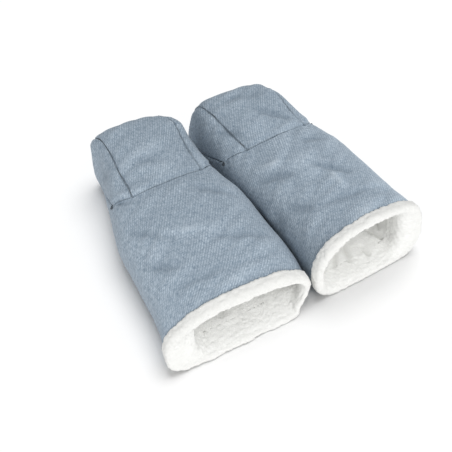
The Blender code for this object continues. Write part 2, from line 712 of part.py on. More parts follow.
def outer_points(muff):
    """The outermost points of a muff, with its turn."""
    rows = [[surface_point(muff, place, angle, depth) for angle in ring_angles(muff, 0.0)]
            for place, depth in cuff_outline()]
    rows += sleeve_grid(muff, PANEL_START, 0.0) + hood_grid(muff, 0.0)
    turn = Matrix.Rotation(muff["turn"], 3, "Z")
    return [turn @ point for row in rows for point in row]


def pair_places():
    """Where each muff's own frame stands, so that the pair is centred on the origin."""
    left, right = MUFFS["left"], MUFFS["right"]
    spacing = PAIR_GAP + max(one - other for one, other in zip(side_reach(left, 1), side_reach(right, -1)))
    places = {"left": Vector(), "right": Vector((spacing, -RIGHT_SETBACK, 0.0))}
    points = [place + point for side, place in places.items() for point in outer_points(MUFFS[side])]
    middle = Vector()
    for axis in (0, 1):
        values = [point[axis] for point in points]
        middle[axis] = (min(values) + max(values)) / 2
    return {side: place - middle for side, place in places.items()}


def add_empty(name, place, turn, collection, parent=None):
    """An empty that carries a moving body."""
    empty = bpy.data.objects.new(name, None)
    empty.location = place
    empty.rotation_euler = (0.0, 0.0, turn)
    empty.parent = parent
    collection.objects.link(empty)
    return empty


def build():
    """Model the pair."""
    clear_scene()
    collection = make_collection("hand_muffs")
    cutters = make_collection("cutters")
    paint = {
        "cloth": make_material("woven_cloth", (0.33, 0.40, 0.47), 0.95),
        "fleece": make_material("white_fleece", (0.90, 0.90, 0.88), 1.0),
        "wadding": make_material("wadding", (0.80, 0.80, 0.78), 1.0),
        "metal": make_material("stud_metal", (0.55, 0.56, 0.58), 0.35, 1.0),
        "thread": make_material("dark_thread", (0.06, 0.08, 0.10), 0.9),
    }
    places = pair_places()
    for side, muff in MUFFS.items():
        body = add_empty(f"{side}_muff_frame", places[side], muff["turn"], collection)
        hinge_place = Vector((0.0, HINGE_PLACE, 0.0))
        hinge = add_empty(f"{side}_flap_hinge", hinge_place, 0.0, collection, body)
        add_sleeve(side, muff, collection, paint, body)
        add_cuff(side, muff, collection, paint, body)
        add_hood(side, muff, collection, paint, body)
        add_hem(side, muff, collection, cutters, paint, body)
        add_flap(side, muff, collection, cutters, paint, hinge)
        add_bar_tacks(side, muff, collection, paint, body)
    bpy.context.view_layer.update()


build()
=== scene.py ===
"""Looks of a pair of padded hand muffs: twill skins, fleece cuffs and linings, press studs and light.

All places are in metres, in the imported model's frame: +X across the pair, +Y from the cuffs to the far
ends of the hoods. A muff's own frame has its cuff at y = 0, its middle at x = 0 and z up. A point of its
wall is given by its place along the muff, its column round the muff and its depth below the outside.
Columns 0 and 3 are the right and left slit, 1 and 2 are the seams beside the hood's top strip, and 3 to 4
runs below the muff from the left slit back to the right one.
"""

import json
import math

import bmesh
import bpy
import numpy as np
from mathutils import Matrix, Vector, noise

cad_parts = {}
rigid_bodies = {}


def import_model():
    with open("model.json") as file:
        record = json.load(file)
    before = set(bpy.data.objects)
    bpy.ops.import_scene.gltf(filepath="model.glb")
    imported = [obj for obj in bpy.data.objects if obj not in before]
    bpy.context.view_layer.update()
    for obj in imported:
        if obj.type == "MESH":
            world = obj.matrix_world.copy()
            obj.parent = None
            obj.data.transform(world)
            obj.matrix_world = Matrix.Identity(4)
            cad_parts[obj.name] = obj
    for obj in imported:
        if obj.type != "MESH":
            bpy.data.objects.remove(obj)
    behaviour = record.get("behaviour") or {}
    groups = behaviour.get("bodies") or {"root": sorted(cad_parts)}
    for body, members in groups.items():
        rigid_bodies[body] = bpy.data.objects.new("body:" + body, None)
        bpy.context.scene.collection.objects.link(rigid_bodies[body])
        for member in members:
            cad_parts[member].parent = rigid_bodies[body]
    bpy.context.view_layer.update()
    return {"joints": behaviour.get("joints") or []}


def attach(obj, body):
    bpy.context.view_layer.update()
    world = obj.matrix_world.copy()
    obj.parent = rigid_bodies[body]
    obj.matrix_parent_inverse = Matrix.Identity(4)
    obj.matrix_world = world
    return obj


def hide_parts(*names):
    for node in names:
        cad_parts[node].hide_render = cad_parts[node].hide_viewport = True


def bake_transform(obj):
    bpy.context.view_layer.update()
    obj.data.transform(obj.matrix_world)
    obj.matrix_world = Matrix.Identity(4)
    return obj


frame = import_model()

# The muff's sizes, as the model has them
SLEEVE_LENGTH = 0.183
HOOD_LENGTH = 0.107
LENGTH = SLEEVE_LENGTH + HOOD_LENGTH
HALF_WIDTH = 0.080
HEIGHT = 0.075
HOOD_END_RADIUS = 0.022
STRIP_HALF_WIDTH = 0.044
TACK_PLACE = SLEEVE_LENGTH + 0.015
TACK_HEIGHT = 0.050
LINING_TOP = 0.0054
LINING_BOTTOM = 0.0072
CUFF_TRIM_WIDTH = 0.012
CUFF_TURN_IN = 0.020
CUFF_PROUD = 0.0008
CUFF_HALF_WALL = 0.0042
CUFF_FLARE = 0.0125
CUFF_MIDDLE = CUFF_HALF_WALL - CUFF_PROUD
FILL_END = 0.110
LEAN_REACH = 0.090

# The flap, its tab and the press studs
FLAP_END = LENGTH - 0.003
FLAP_LIFT = 0.0016
FLAP_RISE_LENGTH = 0.012
TAB_LENGTH = 0.036
TAB_BOTTOM = 0.0029
TAB_THICKNESS = 0.0010
HEM_BOTTOM = 0.0084
HEM_THICKNESS = 0.0016
HEM_DEPTH = 0.025
HEM_SETBACK = 0.0014
HEM_HALF_WIDTH = 0.027
PADDING_END = FLAP_END - TAB_LENGTH - 0.0005
STUD_PITCH = 0.040
STUD_PLACE = LENGTH - 0.016
STUD_BOTTOM = 0.0042
STUD_CAP_BOTTOM = 0.0002
SOCKET_BOTTOM = 0.0055
SOCKET_CAP_BOTTOM = HEM_BOTTOM + HEM_THICKNESS + 0.0003
SLIT_FOOT = HEM_BOTTOM + 0.0010
HINGE_PLACE = TACK_PLACE - TACK_HEIGHT * (TACK_HEIGHT - SLIT_FOOT) / (LENGTH - TACK_PLACE)

# Columns of the five long lines and of the sole's middle, and the smallest numbers that count
LINE_COLUMNS = np.arange(5.0)
SOLE_MIDDLE = 3.5
NO_LENGTH = 1e-12
BARELY = 1e-6

# The section's shape, as shares that the model has too
BELT_SHARE = 0.45
SOLE_POWER = 3.5
SOLE_PRESS_SHARE = 1.06
END_TOP_SHARE = 0.9
END_SIDE_SHARE = 0.3
SLEEVE_STATION_SHARES = (0.0, 0.27, 0.55, 0.82, 1.0)
HOOD_STATION_SHARES = (0.30, 0.63, 1.0)
CORNER_POWERS = (2.5, 2.4, 2.4, 2.6, 3.2, 4.0, 4.5, 4.5)
TOP_TAPER_SHARES = (0.0, 0.0, 0.0, 0.02, 0.06, 0.10, 0.12, 0.12)

# Each muff's own shape. Rows of swells give place, column, reach and rise, and rows of dents place,
# column, reach and depth. Rows of fills give the side, the amount and the reach, and rows of folds the
# place and column of both ends, the width and the rise. The cross seam has columns, and for each of them
# the share of its painted shade that shows there.
MUFFS = {
    "left": {
        "width_shares": (1.09, 1.07, 1.03, 1.00, 0.89, 0.81, 0.75, 0.68),
        "height_shares": (0.71, 0.80, 0.86, 0.91, 0.94, 1.02, 1.13, 1.20),
        "centre_shares": (-0.17, -0.055, -0.03, -0.005, -0.005, 0.025, 0.07, 0.025),
        "strip_width_shares": (1.0, 0.935),
        "strip_centre_shares": (0.025, -0.012),
        "strip_bow_share": 0.09,
        "lean": 0.0176,
        "seed": 3.0,
        "rim_dents": ((0.002, 3.88, 0.014, 0.0135),),
        "cross_seam_shares": ((0.0, 1.0, 1.3, 1.6, 2.0, 3.0), (0.1, 0.15, 0.6, 0.75, 0.25, 0.12)),
        "mouth_fills": ((-1.0, 0.026, 0.060),),
        "swells": (
            (0.286, 2.08, 0.013, 0.0034), (0.284, 1.48, 0.018, 0.0012),
            (0.286, 0.98, 0.016, -0.0044), (0.262, 0.92, 0.02, 0.004),
            (0.284, 1.22, 0.018, -0.0014), (0.286, 2.35, 0.014, 0.0008),
            (0.268, 2.6, 0.022, -0.0028), (0.15, 1.5, 0.04, 0.001),
        ),
        "fleece_swells": (
            (0.012, 3.05, 0.014, 0.002), (0.01, 3.95, 0.01, 0.002),
        ),
        "fleece_folds": (
            (0.038, 3.27, 0.02, 3.305, 0.0036, -0.0012), (0.046, 3.47, 0.03, 3.42, 0.0036, -0.0014),
            (0.045, 3.56, 0.025, 3.52, 0.003, -0.0006), (0.04, 3.68, 0.023, 3.64, 0.003, -0.0006),
        ),
        "folds": (
            (0.195, 2.8, 0.182, 2.23, 0.0032, -0.0022), (0.1966, 2.51, 0.1905, 2.08, 0.0036, 0.002),
            (0.185, 2.05, 0.187, 1.75, 0.0036, 0.002), (0.148, 2.6, 0.108, 1.8, 0.0055, -0.0024),
            (0.13, 2.4, 0.1, 1.3, 0.006, 0.0018), (0.102, 2.75, 0.07, 1.9, 0.0055, -0.0022),
            (0.165, 1.35, 0.13, 0.6, 0.005, -0.0022), (0.09, 1.5, 0.065, 0.5, 0.0055, -0.002),
            (0.05, 2.3, 0.042, 1.3, 0.005, -0.0016), (0.26, 2.75, 0.23, 2.45, 0.005, -0.002),
            (0.225, 1.8, 0.205, 1.2, 0.0055, -0.0016),
        ),
    },
    "right": {
        "width_shares": (0.90, 0.89, 0.89, 0.89, 0.855, 0.82, 0.775, 0.69),
        "height_shares": (1.15, 1.06, 1.01, 0.985, 0.97, 1.03, 1.09, 1.08),
        "centre_shares": (0.01, 0.055, 0.095, 0.09, 0.03, -0.015, -0.045, -0.09),
        "strip_width_shares": (0.97, 1.09),
        "strip_centre_shares": (0.015, 0.075),
        "strip_bow_share": 0.0,
        "lean": 0.0045,
        "seed": 11.0,
        "rim_dents": (),
        "cross_seam_shares": ((0.0, 0.9, 1.35, 1.6, 1.95, 2.05, 3.0),
                              (0.1, 0.15, 0.4, 1.1, 0.8, 0.12, 0.12)),
        "mouth_fills": ((1.0, 0.020, 0.060),),
        "swells": (
            (0.275, 2.5, 0.02, -0.0025), (0.286, 1.45, 0.022, -0.0012),
            (0.286, 1.28, 0.016, -0.004), (0.246, 0.88, 0.026, 0.0042),
            (0.214, 1.72, 0.018, 0.002), (0.103, 3.03, 0.01, 0.002),
            (0.088, 3.0, 0.01, -0.002),
        ),
        "fleece_swells": (
            (0.01, 3.95, 0.012, 0.0035), (0.012, 3.12, 0.012, 0.003),
        ),
        "fleece_folds": (
            (0.052, 3.69, 0.022, 3.775, 0.003, -0.0034), (0.05, 3.83, 0.038, 3.79, 0.003, -0.0016),
            (0.048, 3.48, 0.02, 3.44, 0.0035, -0.0028), (0.042, 3.4, 0.022, 3.33, 0.003, -0.0024),
            (0.035, 3.58, 0.015, 3.56, 0.003, -0.0024),
        ),
        "folds": (
            (0.125, 1.6, 0.084, 1.18, 0.005, -0.0034), (0.102, 1.45, 0.062, 1.46, 0.0055, 0.0026),
            (0.142, 2.7, 0.12, 1.85, 0.0055, -0.0032), (0.156, 2.55, 0.14, 1.8, 0.0055, 0.002),
            (0.235, 1.52, 0.196, 1.1, 0.0045, -0.0032), (0.228, 2.3, 0.205, 1.9, 0.005, -0.0018),
            (0.09, 2.6, 0.062, 2.0, 0.0055, -0.0024), (0.06, 1.9, 0.045, 1.0, 0.005, -0.0018),
            (0.16, 1.4, 0.15, 0.8, 0.0055, -0.0022), (0.265, 1.8, 0.25, 1.2, 0.006, -0.0018),
        ),
    },
}

# How finely the cloth is meshed
CLOTH_STEP = 0.0026
LINING_STEP = 0.0021
FLEECE_STEP = 0.0013
FINE_STEP = 0.0005
STEP_GROWTH = 1.3
CHART_STEPS = 60
RING_SAMPLES = 1400
CHART_PLACE_STEP = 0.003
END_STEPS = 16
ROLL_STEPS = 6
HEM_STEPS = 9
WALL_STEP = 0.003
INNER_STEP = 0.006
FLARE_STEPS = 24
ROUND_SEGMENTS = 48
RIM_STEPS = 7
EDGE_STEPS = 4
HOOD_WALL_ROWS = 23
HALVINGS = 40
WELD_DISTANCE = 0.00003
FINE_WELD_DISTANCE = 0.000005
NORMAL_PLACE_STEP = 0.0008
NORMAL_COLUMN_STEP = 0.012
NORMAL_END_GAP = 0.0002

# Seams and folded edges
SEAM_ROLL = 0.0018
SEAM_HALF_GAP = 0.0004
SEAM_ALLOWANCE = 0.0020
SEAM_DIP = 0.0014
SEAM_DIP_REACH = 0.0065
SEAM_RIDGE = 0.0009
SEAM_RIDGE_PLACE = 0.007
SEAM_RIDGE_REACH = 0.004
PUCKER_HEIGHT = 0.00035
PUCKER_PLACE = 0.0035
PUCKER_REACH = 0.005
PUCKER_LENGTH = 0.0085
PUCKER_DRIFT = 0.031
PUCKER_SWING = 2.0
HEM_RADIUS = LINING_TOP / 2
THIN_HEM_RADIUS = 0.0006
HEM_TAIL = 0.006
HEM_START_LENGTH = 0.008
SLIT_HALF_GAP = 0.0005
CLOTH_THICKNESS = 0.0009
FLEECE_THICKNESS = 0.0014
LINING_OVERLAP = 0.006
WALL_INSET = 0.0025
WALL_BULGE = 0.0020
RELIEF_FADE = 0.002
CUFF_TUCK = 0.0012
CUFF_TUCK_LENGTH = 0.006
SKIN_BELOW_TRIM = 0.004
TACK_FADE = 0.10
FLAP_FADE_LENGTH = 0.012
FLAP_INSET_REACH = 0.010
HOOD_LINING_OVERLAP = 0.003
TRIM_EDGE = ((-0.0006, 0.0012), (0.0, 0.0002), (-0.0003, -CUFF_PROUD / 2))

# Relief of the cloth and the pile. Rows of layers give height, size of the patches and offset of the seed
SLACK_LAYERS = ((0.0010, 0.055, 0.0), (0.0004, 0.019, 7.0))
PILE_CLUMPS = ((0.0010, 0.0048, 2.0), (0.0006, 0.0024, 7.0))
PILE_LAYERS = ((0.0010, 0.017, 11.0), (0.0003, 0.0016, 2.0))
CLUMP_POWER = 1.5
# The crease depth scales painted shade in creases and painted highlight on ridges; the share on the next
# line paints shade over the cuff's outer rim, and the cleft share paints shade between the pile's clumps
CREASE_DEPTH = 0.003
OUTER_RIM_SHADE = 0.40
FLUFF = 0.5
CLEFT_SHARE = 0.22
PILE_FADE = 0.002
LINING_FADE = 0.0015
WRINKLE_WIDTH = 0.060
WRINKLE_LENGTH = 0.020
WRINKLE_SLANT = 0.35
WRINKLE_HEIGHT = 0.0004
TOP_WRINKLE_HEIGHT = 0.0012
TOP_START = 0.4
TOP_END = 2.8
TOP_FADE = 0.6
FOLD_END_POWER = 0.6
WALL_DENT = 0.0015
WALL_DENT_SIZE = 0.03


# Shape of a muff

def spread(*values):
    """Arrays of one shape from numbers and arrays that fit together."""
    return np.broadcast_arrays(*(np.asarray(value, float) for value in values))


def held(value):
    """A value held between 0 and 1."""
    return np.clip(value, 0.0, 1.0)


def even_shares(count):
    """Even shares from 0 to 1 in this many steps."""
    return np.linspace(0.0, 1.0, count + 1)


def quarter_turn(count):
    """This many even angles from 0 to a quarter turn."""
    return np.linspace(0.0, math.pi / 2, count)


def rows_between(start, end, length, step):
    """Even places from start to end for each column, as many rows as the length holds steps."""
    return start + (end - start) * even_shares(round(length / step))[:, None]


def smooth_curve(places, values, at):
    """Read a smooth curve through the values at many places."""
    places = np.asarray(places, float)
    values = np.asarray(values, float)
    step = np.diff(places)
    slopes = np.empty(len(places))
    slopes[1:-1] = (values[2:] - values[:-2]) / (places[2:] - places[:-2])
    slopes[0] = (values[1] - values[0]) / step[0]
    slopes[-1] = (values[-1] - values[-2]) / step[-1]
    index = np.clip(np.searchsorted(places, at, side="right") - 1, 0, len(places) - 2)
    t = held((at - places[index]) / step[index])
    rest = 1.0 - t
    return (rest * rest * (1.0 + 2.0 * t) * values[index] + t * t * (3.0 - 2.0 * t) * values[index + 1]
            + rest * t * step[index] * (rest * slopes[index] - t * slopes[index + 1]))


def stations():
    """Places along the muff where its shares are given."""
    sleeve = [SLEEVE_LENGTH * share for share in SLEEVE_STATION_SHARES]
    return sleeve + [SLEEVE_LENGTH + HOOD_LENGTH * share for share in HOOD_STATION_SHARES]


def outline(muff, place, depth):
    """Half width, top, belt, middle, corner power and taper of a ply's section at each place."""
    places = stations()
    half_width = HALF_WIDTH * smooth_curve(places, muff["width_shares"], place)
    height = HEIGHT * smooth_curve(places, muff["height_shares"], place)
    centre = HALF_WIDTH * smooth_curve(places, muff["centre_shares"], place)
    power = smooth_curve(places, CORNER_POWERS, place)
    taper = smooth_curve(places, TOP_TAPER_SHARES, place)
    over = np.clip(place - (LENGTH - depth - HOOD_END_RADIUS), 0.0, HOOD_END_RADIUS)
    drop = HOOD_END_RADIUS - np.sqrt(HOOD_END_RADIUS ** 2 - over ** 2)
    side = half_width - depth - END_SIDE_SHARE * drop
    top = height - depth - END_TOP_SHARE * drop
    return side, top, BELT_SHARE * height, centre, power, taper


def wall_points(muff, place, angle, depth=0.0, lift=0.0):
    """Points of a ply at a place, an angle from +X over the top and a depth."""
    place, angle, depth, lift = spread(place, angle, depth, lift)
    side, top, belt, centre, power, taper = outline(muff, place, depth)
    cosine = np.cos(angle)
    sine = np.sin(angle)
    rise = np.abs(sine) ** (2.0 / power)
    upper_out = np.abs(cosine) ** (2.0 / power) * (1.0 - taper * rise)
    fall = np.minimum(SOLE_PRESS_SHARE * np.abs(sine) ** (2.0 / SOLE_POWER), 1.0)
    lower_out = np.abs(cosine) ** (2.0 / SOLE_POWER)
    out = np.where(sine >= 0.0, upper_out, lower_out)
    z = np.where(sine >= 0.0, belt + (top - belt) * rise, belt - (belt - depth - lift) * fall)
    x = centre + np.sign(cosine) * side * out
    height = HEIGHT * smooth_curve(stations(), muff["height_shares"], place)
    lean = muff["lean"] * (np.maximum(z, 0.0) - height / 2) / height
    y = place + lean * np.maximum(0.0, 1.0 - np.maximum(place, 0.0) / LEAN_REACH)
    return np.stack([x, y, z], axis=-1)


def section(muff, place, angle):
    """Sine, cosine, power, height and half width of the quarter that an angle lies in."""
    side, top, belt, _, power, _ = outline(muff, place, 0.0)
    sine = np.sin(angle)
    upper = sine >= 0.0
    return sine, np.cos(angle), np.where(upper, power, SOLE_POWER), np.where(upper, top - belt, belt), side


def nearest_turn(angle, wanted):
    """The angle plus the whole turns that bring it nearest to the wanted one."""
    return angle + 2.0 * math.pi * np.round((wanted - angle) / (2.0 * math.pi))


def angle_from_bearing(muff, place, bearing):
    """The section's own angle at a bearing seen from the middle of its belt."""
    sine, cosine, power, reach, side = section(muff, place, bearing)
    angle = np.arctan2(np.sign(sine) * np.abs(sine / reach) ** (power / 2),
                       np.sign(cosine) * np.abs(cosine / side) ** (power / 2))
    return nearest_turn(angle, bearing)


def bearing_from_angle(muff, place, angle):
    """The bearing from the middle of the belt at which the section has this angle."""
    sine, cosine, power, reach, side = section(muff, place, angle)
    bearing = np.arctan2(np.sign(sine) * reach * np.abs(sine) ** (2.0 / power),
                         np.sign(cosine) * side * np.abs(cosine) ** (2.0 / power))
    return nearest_turn(bearing, angle)


def angle_at_height(muff, place, height):
    """Angle on the right-hand side at which the outside has this height."""
    _, top, belt, _, power, _ = outline(muff, place, 0.0)
    rise = held((height - belt) / (top - belt)) ** (power / 2)
    fall = held((belt - height) / (belt * SOLE_PRESS_SHARE)) ** (SOLE_POWER / 2)
    return np.where(height >= belt, np.arcsin(rise), -np.arcsin(fall))


def angle_at_x(muff, place, x):
    """Angle on the upper half at which the outside has this x."""
    low = np.zeros_like(place)
    high = np.full_like(place, math.pi)
    for _ in range(HALVINGS):
        middle = (low + high) / 2
        further = wall_points(muff, place, middle)[..., 0] > x
        low = np.where(further, middle, low)
        high = np.where(further, high, middle)
    return low


def seam_angles(muff, place):
    """Angles of the five long lines: right slit, right seam, left seam, left slit, right slit again."""
    past = np.maximum(place, TACK_PLACE)
    slope = (TACK_HEIGHT - SLIT_FOOT) / (LENGTH - TACK_PLACE)
    slit = angle_at_height(muff, past, TACK_HEIGHT - slope * (past - TACK_PLACE))
    share = np.maximum(0.0, (past - SLEEVE_LENGTH) / HOOD_LENGTH)
    near_width, far_width = muff["strip_width_shares"]
    near_centre, far_centre = muff["strip_centre_shares"]
    half = STRIP_HALF_WIDTH * (near_width + (far_width - near_width) * share)
    centre = outline(muff, past, 0.0)[3]
    middle = centre + HALF_WIDTH * (near_centre + (far_centre - near_centre) * share)
    bow = muff["strip_bow_share"] * np.sin(math.pi * share)
    right = angle_at_x(muff, past, middle + half)
    left = angle_at_x(muff, past, middle - half * (1.0 + bow))
    return [slit, right, left, math.pi - slit, 2.0 * math.pi + slit]


def make_chart(muff):
    """Table of bearings by place and column, with even steps along the wall, and the lines' distances."""
    even = np.arange(-2 * CHART_PLACE_STEP, LENGTH - HOOD_END_RADIUS, CHART_PLACE_STEP)
    turn = quarter_turn(2 * END_STEPS)
    places = np.concatenate([even[:-1], LENGTH - HOOD_END_RADIUS * (1.0 - np.sin(turn))])
    bearings = np.linspace(-math.pi / 2, 2.5 * math.pi, RING_SAMPLES)
    grid_places = np.repeat(places[:, None], RING_SAMPLES, axis=1)
    points = wall_points(muff, grid_places, angle_from_bearing(muff, grid_places, bearings[None, :]))
    steps = np.linalg.norm(np.diff(points, axis=1), axis=2)
    along = np.concatenate([np.zeros((len(places), 1)), np.cumsum(steps, axis=1)], axis=1)
    lines = np.stack([bearing_from_angle(muff, places, angle) for angle in seam_angles(muff, places)])
    table = np.empty((len(places), 4 * CHART_STEPS + 1))
    lengths = np.empty((len(places), 4))
    share = even_shares(CHART_STEPS)
    for row in range(len(places)):
        at = np.interp(lines[:, row], bearings, along[row])
        lengths[row] = np.diff(at)
        for part in range(4):
            target = at[part] + share * lengths[row, part]
            first = part * CHART_STEPS
            table[row, first:first + CHART_STEPS + 1] = np.interp(target, along[row], bearings)
    return {"places": places, "table": table, "lengths": lengths}


def part_length(muff, part, place):
    """Length along the wall between a long line and the next at each place."""
    chart = muff["chart"]
    return np.interp(place, chart["places"], chart["lengths"][:, part])


def line_places(muff):
    """Mean distance round the wall at each of the five long lines."""
    return np.concatenate([[0.0], np.cumsum(muff["chart"]["lengths"].mean(axis=0))])


def column_distance(muff, column):
    """Mean distance round the wall at each column."""
    return np.interp(column, LINE_COLUMNS, line_places(muff))


def column_length(muff, part):
    """Length of a part across at the tacks, by which its steps are counted."""
    return float(part_length(muff, part, TACK_PLACE))


def angle_of(muff, place, column):
    """Angle of the section at each place and column."""
    chart = muff["chart"]
    row = np.interp(place, chart["places"], np.arange(len(chart["places"])))
    row = np.minimum(row, len(chart["places"]) - 1 - BARELY)
    across = np.clip(column * CHART_STEPS, 0.0, 4 * CHART_STEPS - BARELY)
    i = row.astype(int)
    j = across.astype(int)
    u = row - i
    v = across - j
    table = chart["table"]
    bearing = ((1 - u) * ((1 - v) * table[i, j] + v * table[i, j + 1])
               + u * ((1 - v) * table[i + 1, j] + v * table[i + 1, j + 1]))
    return angle_from_bearing(muff, place, bearing)


def muff_points(muff, place, column, depth=0.0, lift=0.0):
    """Points of the wall by place, column and depth."""
    place, column = spread(place, column)
    return wall_points(muff, place, angle_of(muff, place, column), depth, lift)


def unit(vectors):
    """Vectors scaled to a length of one."""
    return vectors / np.maximum(np.linalg.norm(vectors, axis=-1, keepdims=True), NO_LENGTH)


def wall_normals(muff, place, column):
    """Outward directions of the wall."""
    place, column = spread(place, column)
    column = np.mod(column, 4.0)
    place = np.minimum(place, LENGTH - NORMAL_END_GAP)
    along = (muff_points(muff, np.minimum(place + NORMAL_PLACE_STEP, LENGTH), column)
             - muff_points(muff, place - NORMAL_PLACE_STEP, column))
    across = (muff_points(muff, place, np.mod(column + NORMAL_COLUMN_STEP, 4.0))
              - muff_points(muff, place, np.mod(column - NORMAL_COLUMN_STEP, 4.0)))
    return unit(np.cross(along, across))


def place_muff(side):
    """The muff's own frame, worked out from its flap's hinge."""
    joint = next(j for j in frame["joints"] if j["name"] == f"{side}_flap_hinge")
    turn = math.atan2(-joint["axis"][1], -joint["axis"][0])
    rotation = Matrix.Rotation(turn, 4, "Z")
    away = rotation @ Vector((0.0, HINGE_PLACE, 0.0))
    return Matrix.Translation(Vector(joint["pos_m"]) - away) @ rotation


for side_name, muff_facts in MUFFS.items():
    muff_facts["side"] = side_name
    muff_facts["chart"] = make_chart(muff_facts)
    muff_facts["frame"] = place_muff(side_name)


# Steps across a piece of cloth: each has a kind, a value and a depth below the outside

FROM_START, MIDDLE, FROM_END, START_HEM, END_HEM, INNER, START_TAIL = range(7)


def seam_edge(kind):
    """Steps round a sewn edge, from the flat cloth to the turned-in allowance."""
    turns = quarter_turn(ROLL_STEPS)
    steps = [(kind, SEAM_HALF_GAP + SEAM_ROLL * (1.0 - math.sin(t)), SEAM_ROLL * (1.0 - math.cos(t)))
             for t in turns]
    return steps + [(kind, SEAM_HALF_GAP, SEAM_ROLL + SEAM_ALLOWANCE)]


def hem_edge(kind):
    """Steps round a hem, from the flat cloth to its underside; the value is the turn."""
    return [(kind, turn, 0.0) for turn in np.linspace(0.0, math.pi, HEM_STEPS)]


def growing(kind, first):
    """Steps that start close together beside an edge and grow."""
    steps = []
    gap = FINE_STEP
    while gap < CLOTH_STEP:
        first += gap
        steps.append((kind, first, 0.0))
        gap *= STEP_GROWTH
    return steps


def mirrored(steps):
    """The same steps at the other edge."""
    return [(FROM_END, value, depth) for _, value, depth in steps[::-1]]


def middle_steps(length, step):
    """Even steps over the middle of a piece, without its two ends."""
    count = max(2, round(length / step))
    return [(MIDDLE, share, 0.0) for share in even_shares(count)[1:-1]]


def lay_steps(steps, length, radius=0.0):
    """Distance from the first edge and depth of each step, where the piece is this long across."""
    kind, value, depth = (np.array(column) for column in zip(*steps))
    first = np.max(value[kind == FROM_START], initial=0.0)
    last = np.max(value[kind == FROM_END], initial=0.0)
    room = length - first - last
    flat = 0.0 * length
    round_off = SLIT_HALF_GAP + radius * (1.0 - np.sin(value)) + flat
    distance = np.select(
        [kind == FROM_START, kind == MIDDLE, kind == FROM_END, kind == START_HEM, kind == END_HEM,
         kind == START_TAIL],
        [value + flat, first + room * value, length - value, round_off, length - round_off,
         SLIT_HALF_GAP + radius + value + flat], first + room * (1.0 - value))
    turned = (kind == START_HEM) | (kind == END_HEM)
    under = (kind == INNER) | (kind == START_TAIL)
    turned_depth = radius * (1.0 - np.cos(value)) + flat
    under_depth = 2 * radius + 0.0 * value + flat
    return distance, np.where(turned, turned_depth, np.where(under, under_depth, depth + flat))


# Meshes from grids of points

def grid_normals(points, closed=False):
    """Outward normals of a grid of points."""
    rows = np.gradient(points, axis=0)
    if closed:
        across = (np.roll(points, -1, axis=1) - np.roll(points, 1, axis=1)) / 2
    else:
        across = np.gradient(points, axis=1)
    return unit(np.cross(rows, across))


def noise_field(points, size, seed=0.0):
    """Smooth noise from -1 to 1 at each point, with patches of about this size."""
    scaled = points.reshape(-1, 3) / size + seed
    values = np.fromiter((noise.noise(point) for point in scaled), float, len(scaled))
    return values.reshape(points.shape[:-1])


def clump_field(points, size, seed=0.0):
    """Round clumps of about this size, from 0 between them to 1 on top."""
    scaled = points.reshape(-1, 3) / size + seed
    values = np.fromiter((noise.voronoi(point)[0][0] for point in scaled), float, len(scaled))
    return 1.0 - held(values).reshape(points.shape[:-1]) ** CLUMP_POWER


def layered(height, field, points, layers, seed):
    """A height with layers of noise or clumps added."""
    for rise, size, offset in layers:
        height = height + rise * field(points, size, seed + offset)
    return height


def fade(distance, reach):
    """1 at no distance, and softly less over this reach."""
    return np.exp(-(distance / reach) ** 2)


def hump(points, middle, reach):
    """1 at a middle, and softly less over this reach round it."""
    return np.exp(-np.sum(((points - middle) / reach) ** 2, axis=-1))


def with_last(grid):
    """A grid with its last row once more."""
    return np.concatenate([grid, grid[-1:]])


def run_along(points):
    """Distance along a line of points to each of them."""
    return np.concatenate([[0.0], np.cumsum(np.linalg.norm(np.diff(points, axis=0), axis=1))])


def add_object(name, data):
    """Put an object in the scene."""
    thing = bpy.data.objects.new(name, data)
    bpy.context.scene.collection.objects.link(thing)
    return thing


def add_piece(muff, name, data, material):
    """Put a mesh in the muff's own frame in the scene, as one of its pieces."""
    data.transform(muff["frame"])
    data.materials.clear()
    data.materials.append(material)
    data.shade_smooth()
    return add_object(f"{muff['side']}_{name}", data)


def mesh_piece(muff, name, grids, material, marks=None):
    """A muff's piece from grids of points with their cloth coordinates; a grid may close on itself.

    Marks are named values for the material, with one array for each grid.
    """
    vertices = []
    faces = []
    corners = []
    start = 0
    for points, cloth, closed in grids:
        rows, columns = points.shape[:2]
        vertices.append(points.reshape(-1, 3))
        across = columns if closed else columns - 1
        i, j = np.meshgrid(np.arange(rows - 1), np.arange(across), indexing="ij")
        following = (j + 1) % columns
        ids = np.stack([i * columns + j, (i + 1) * columns + j,
                        (i + 1) * columns + following, i * columns + following], axis=-1)
        faces.append(ids.reshape(-1, 4) + start)
        corners.append(np.stack([cloth[i, j], cloth[i + 1, j], cloth[i + 1, j + 1], cloth[i, j + 1]],
                                axis=-2).reshape(-1, 2))
        start += rows * columns
    vertices = np.concatenate(vertices)
    vertices[:, 2] = np.maximum(vertices[:, 2], 0.0)
    data = bpy.data.meshes.new(f"{muff['side']}_{name}")
    data.from_pydata(vertices.tolist(), [], np.concatenate(faces).tolist())
    layer = data.uv_layers.new(name="Cloth")
    layer.uv.foreach_set("vector", np.concatenate(corners).astype(np.float32).ravel())
    for mark, parts in (marks or {}).items():
        attribute = data.attributes.new(mark, "FLOAT", "POINT")
        values = np.concatenate([part.ravel() for part in parts])
        attribute.data.foreach_set("value", values.astype(np.float32))
    return add_piece(muff, name, data, material)


def weld(piece, distance=WELD_DISTANCE):
    """Join the grids of a piece where their edges meet, and drop faces with no area."""
    mesh = bmesh.new()
    mesh.from_mesh(piece.data)
    bmesh.ops.remove_doubles(mesh, verts=mesh.verts, dist=distance)
    bmesh.ops.dissolve_degenerate(mesh, edges=mesh.edges, dist=distance / 3)
    mesh.to_mesh(piece.data)
    mesh.free()
    return piece


def baked_mesh(thing):
    """A plain mesh of an object as its settings make it."""
    graph = bpy.context.evaluated_depsgraph_get()
    return bpy.data.meshes.new_from_object(thing.evaluated_get(graph), preserve_all_data_layers=True,
                                           depsgraph=graph)


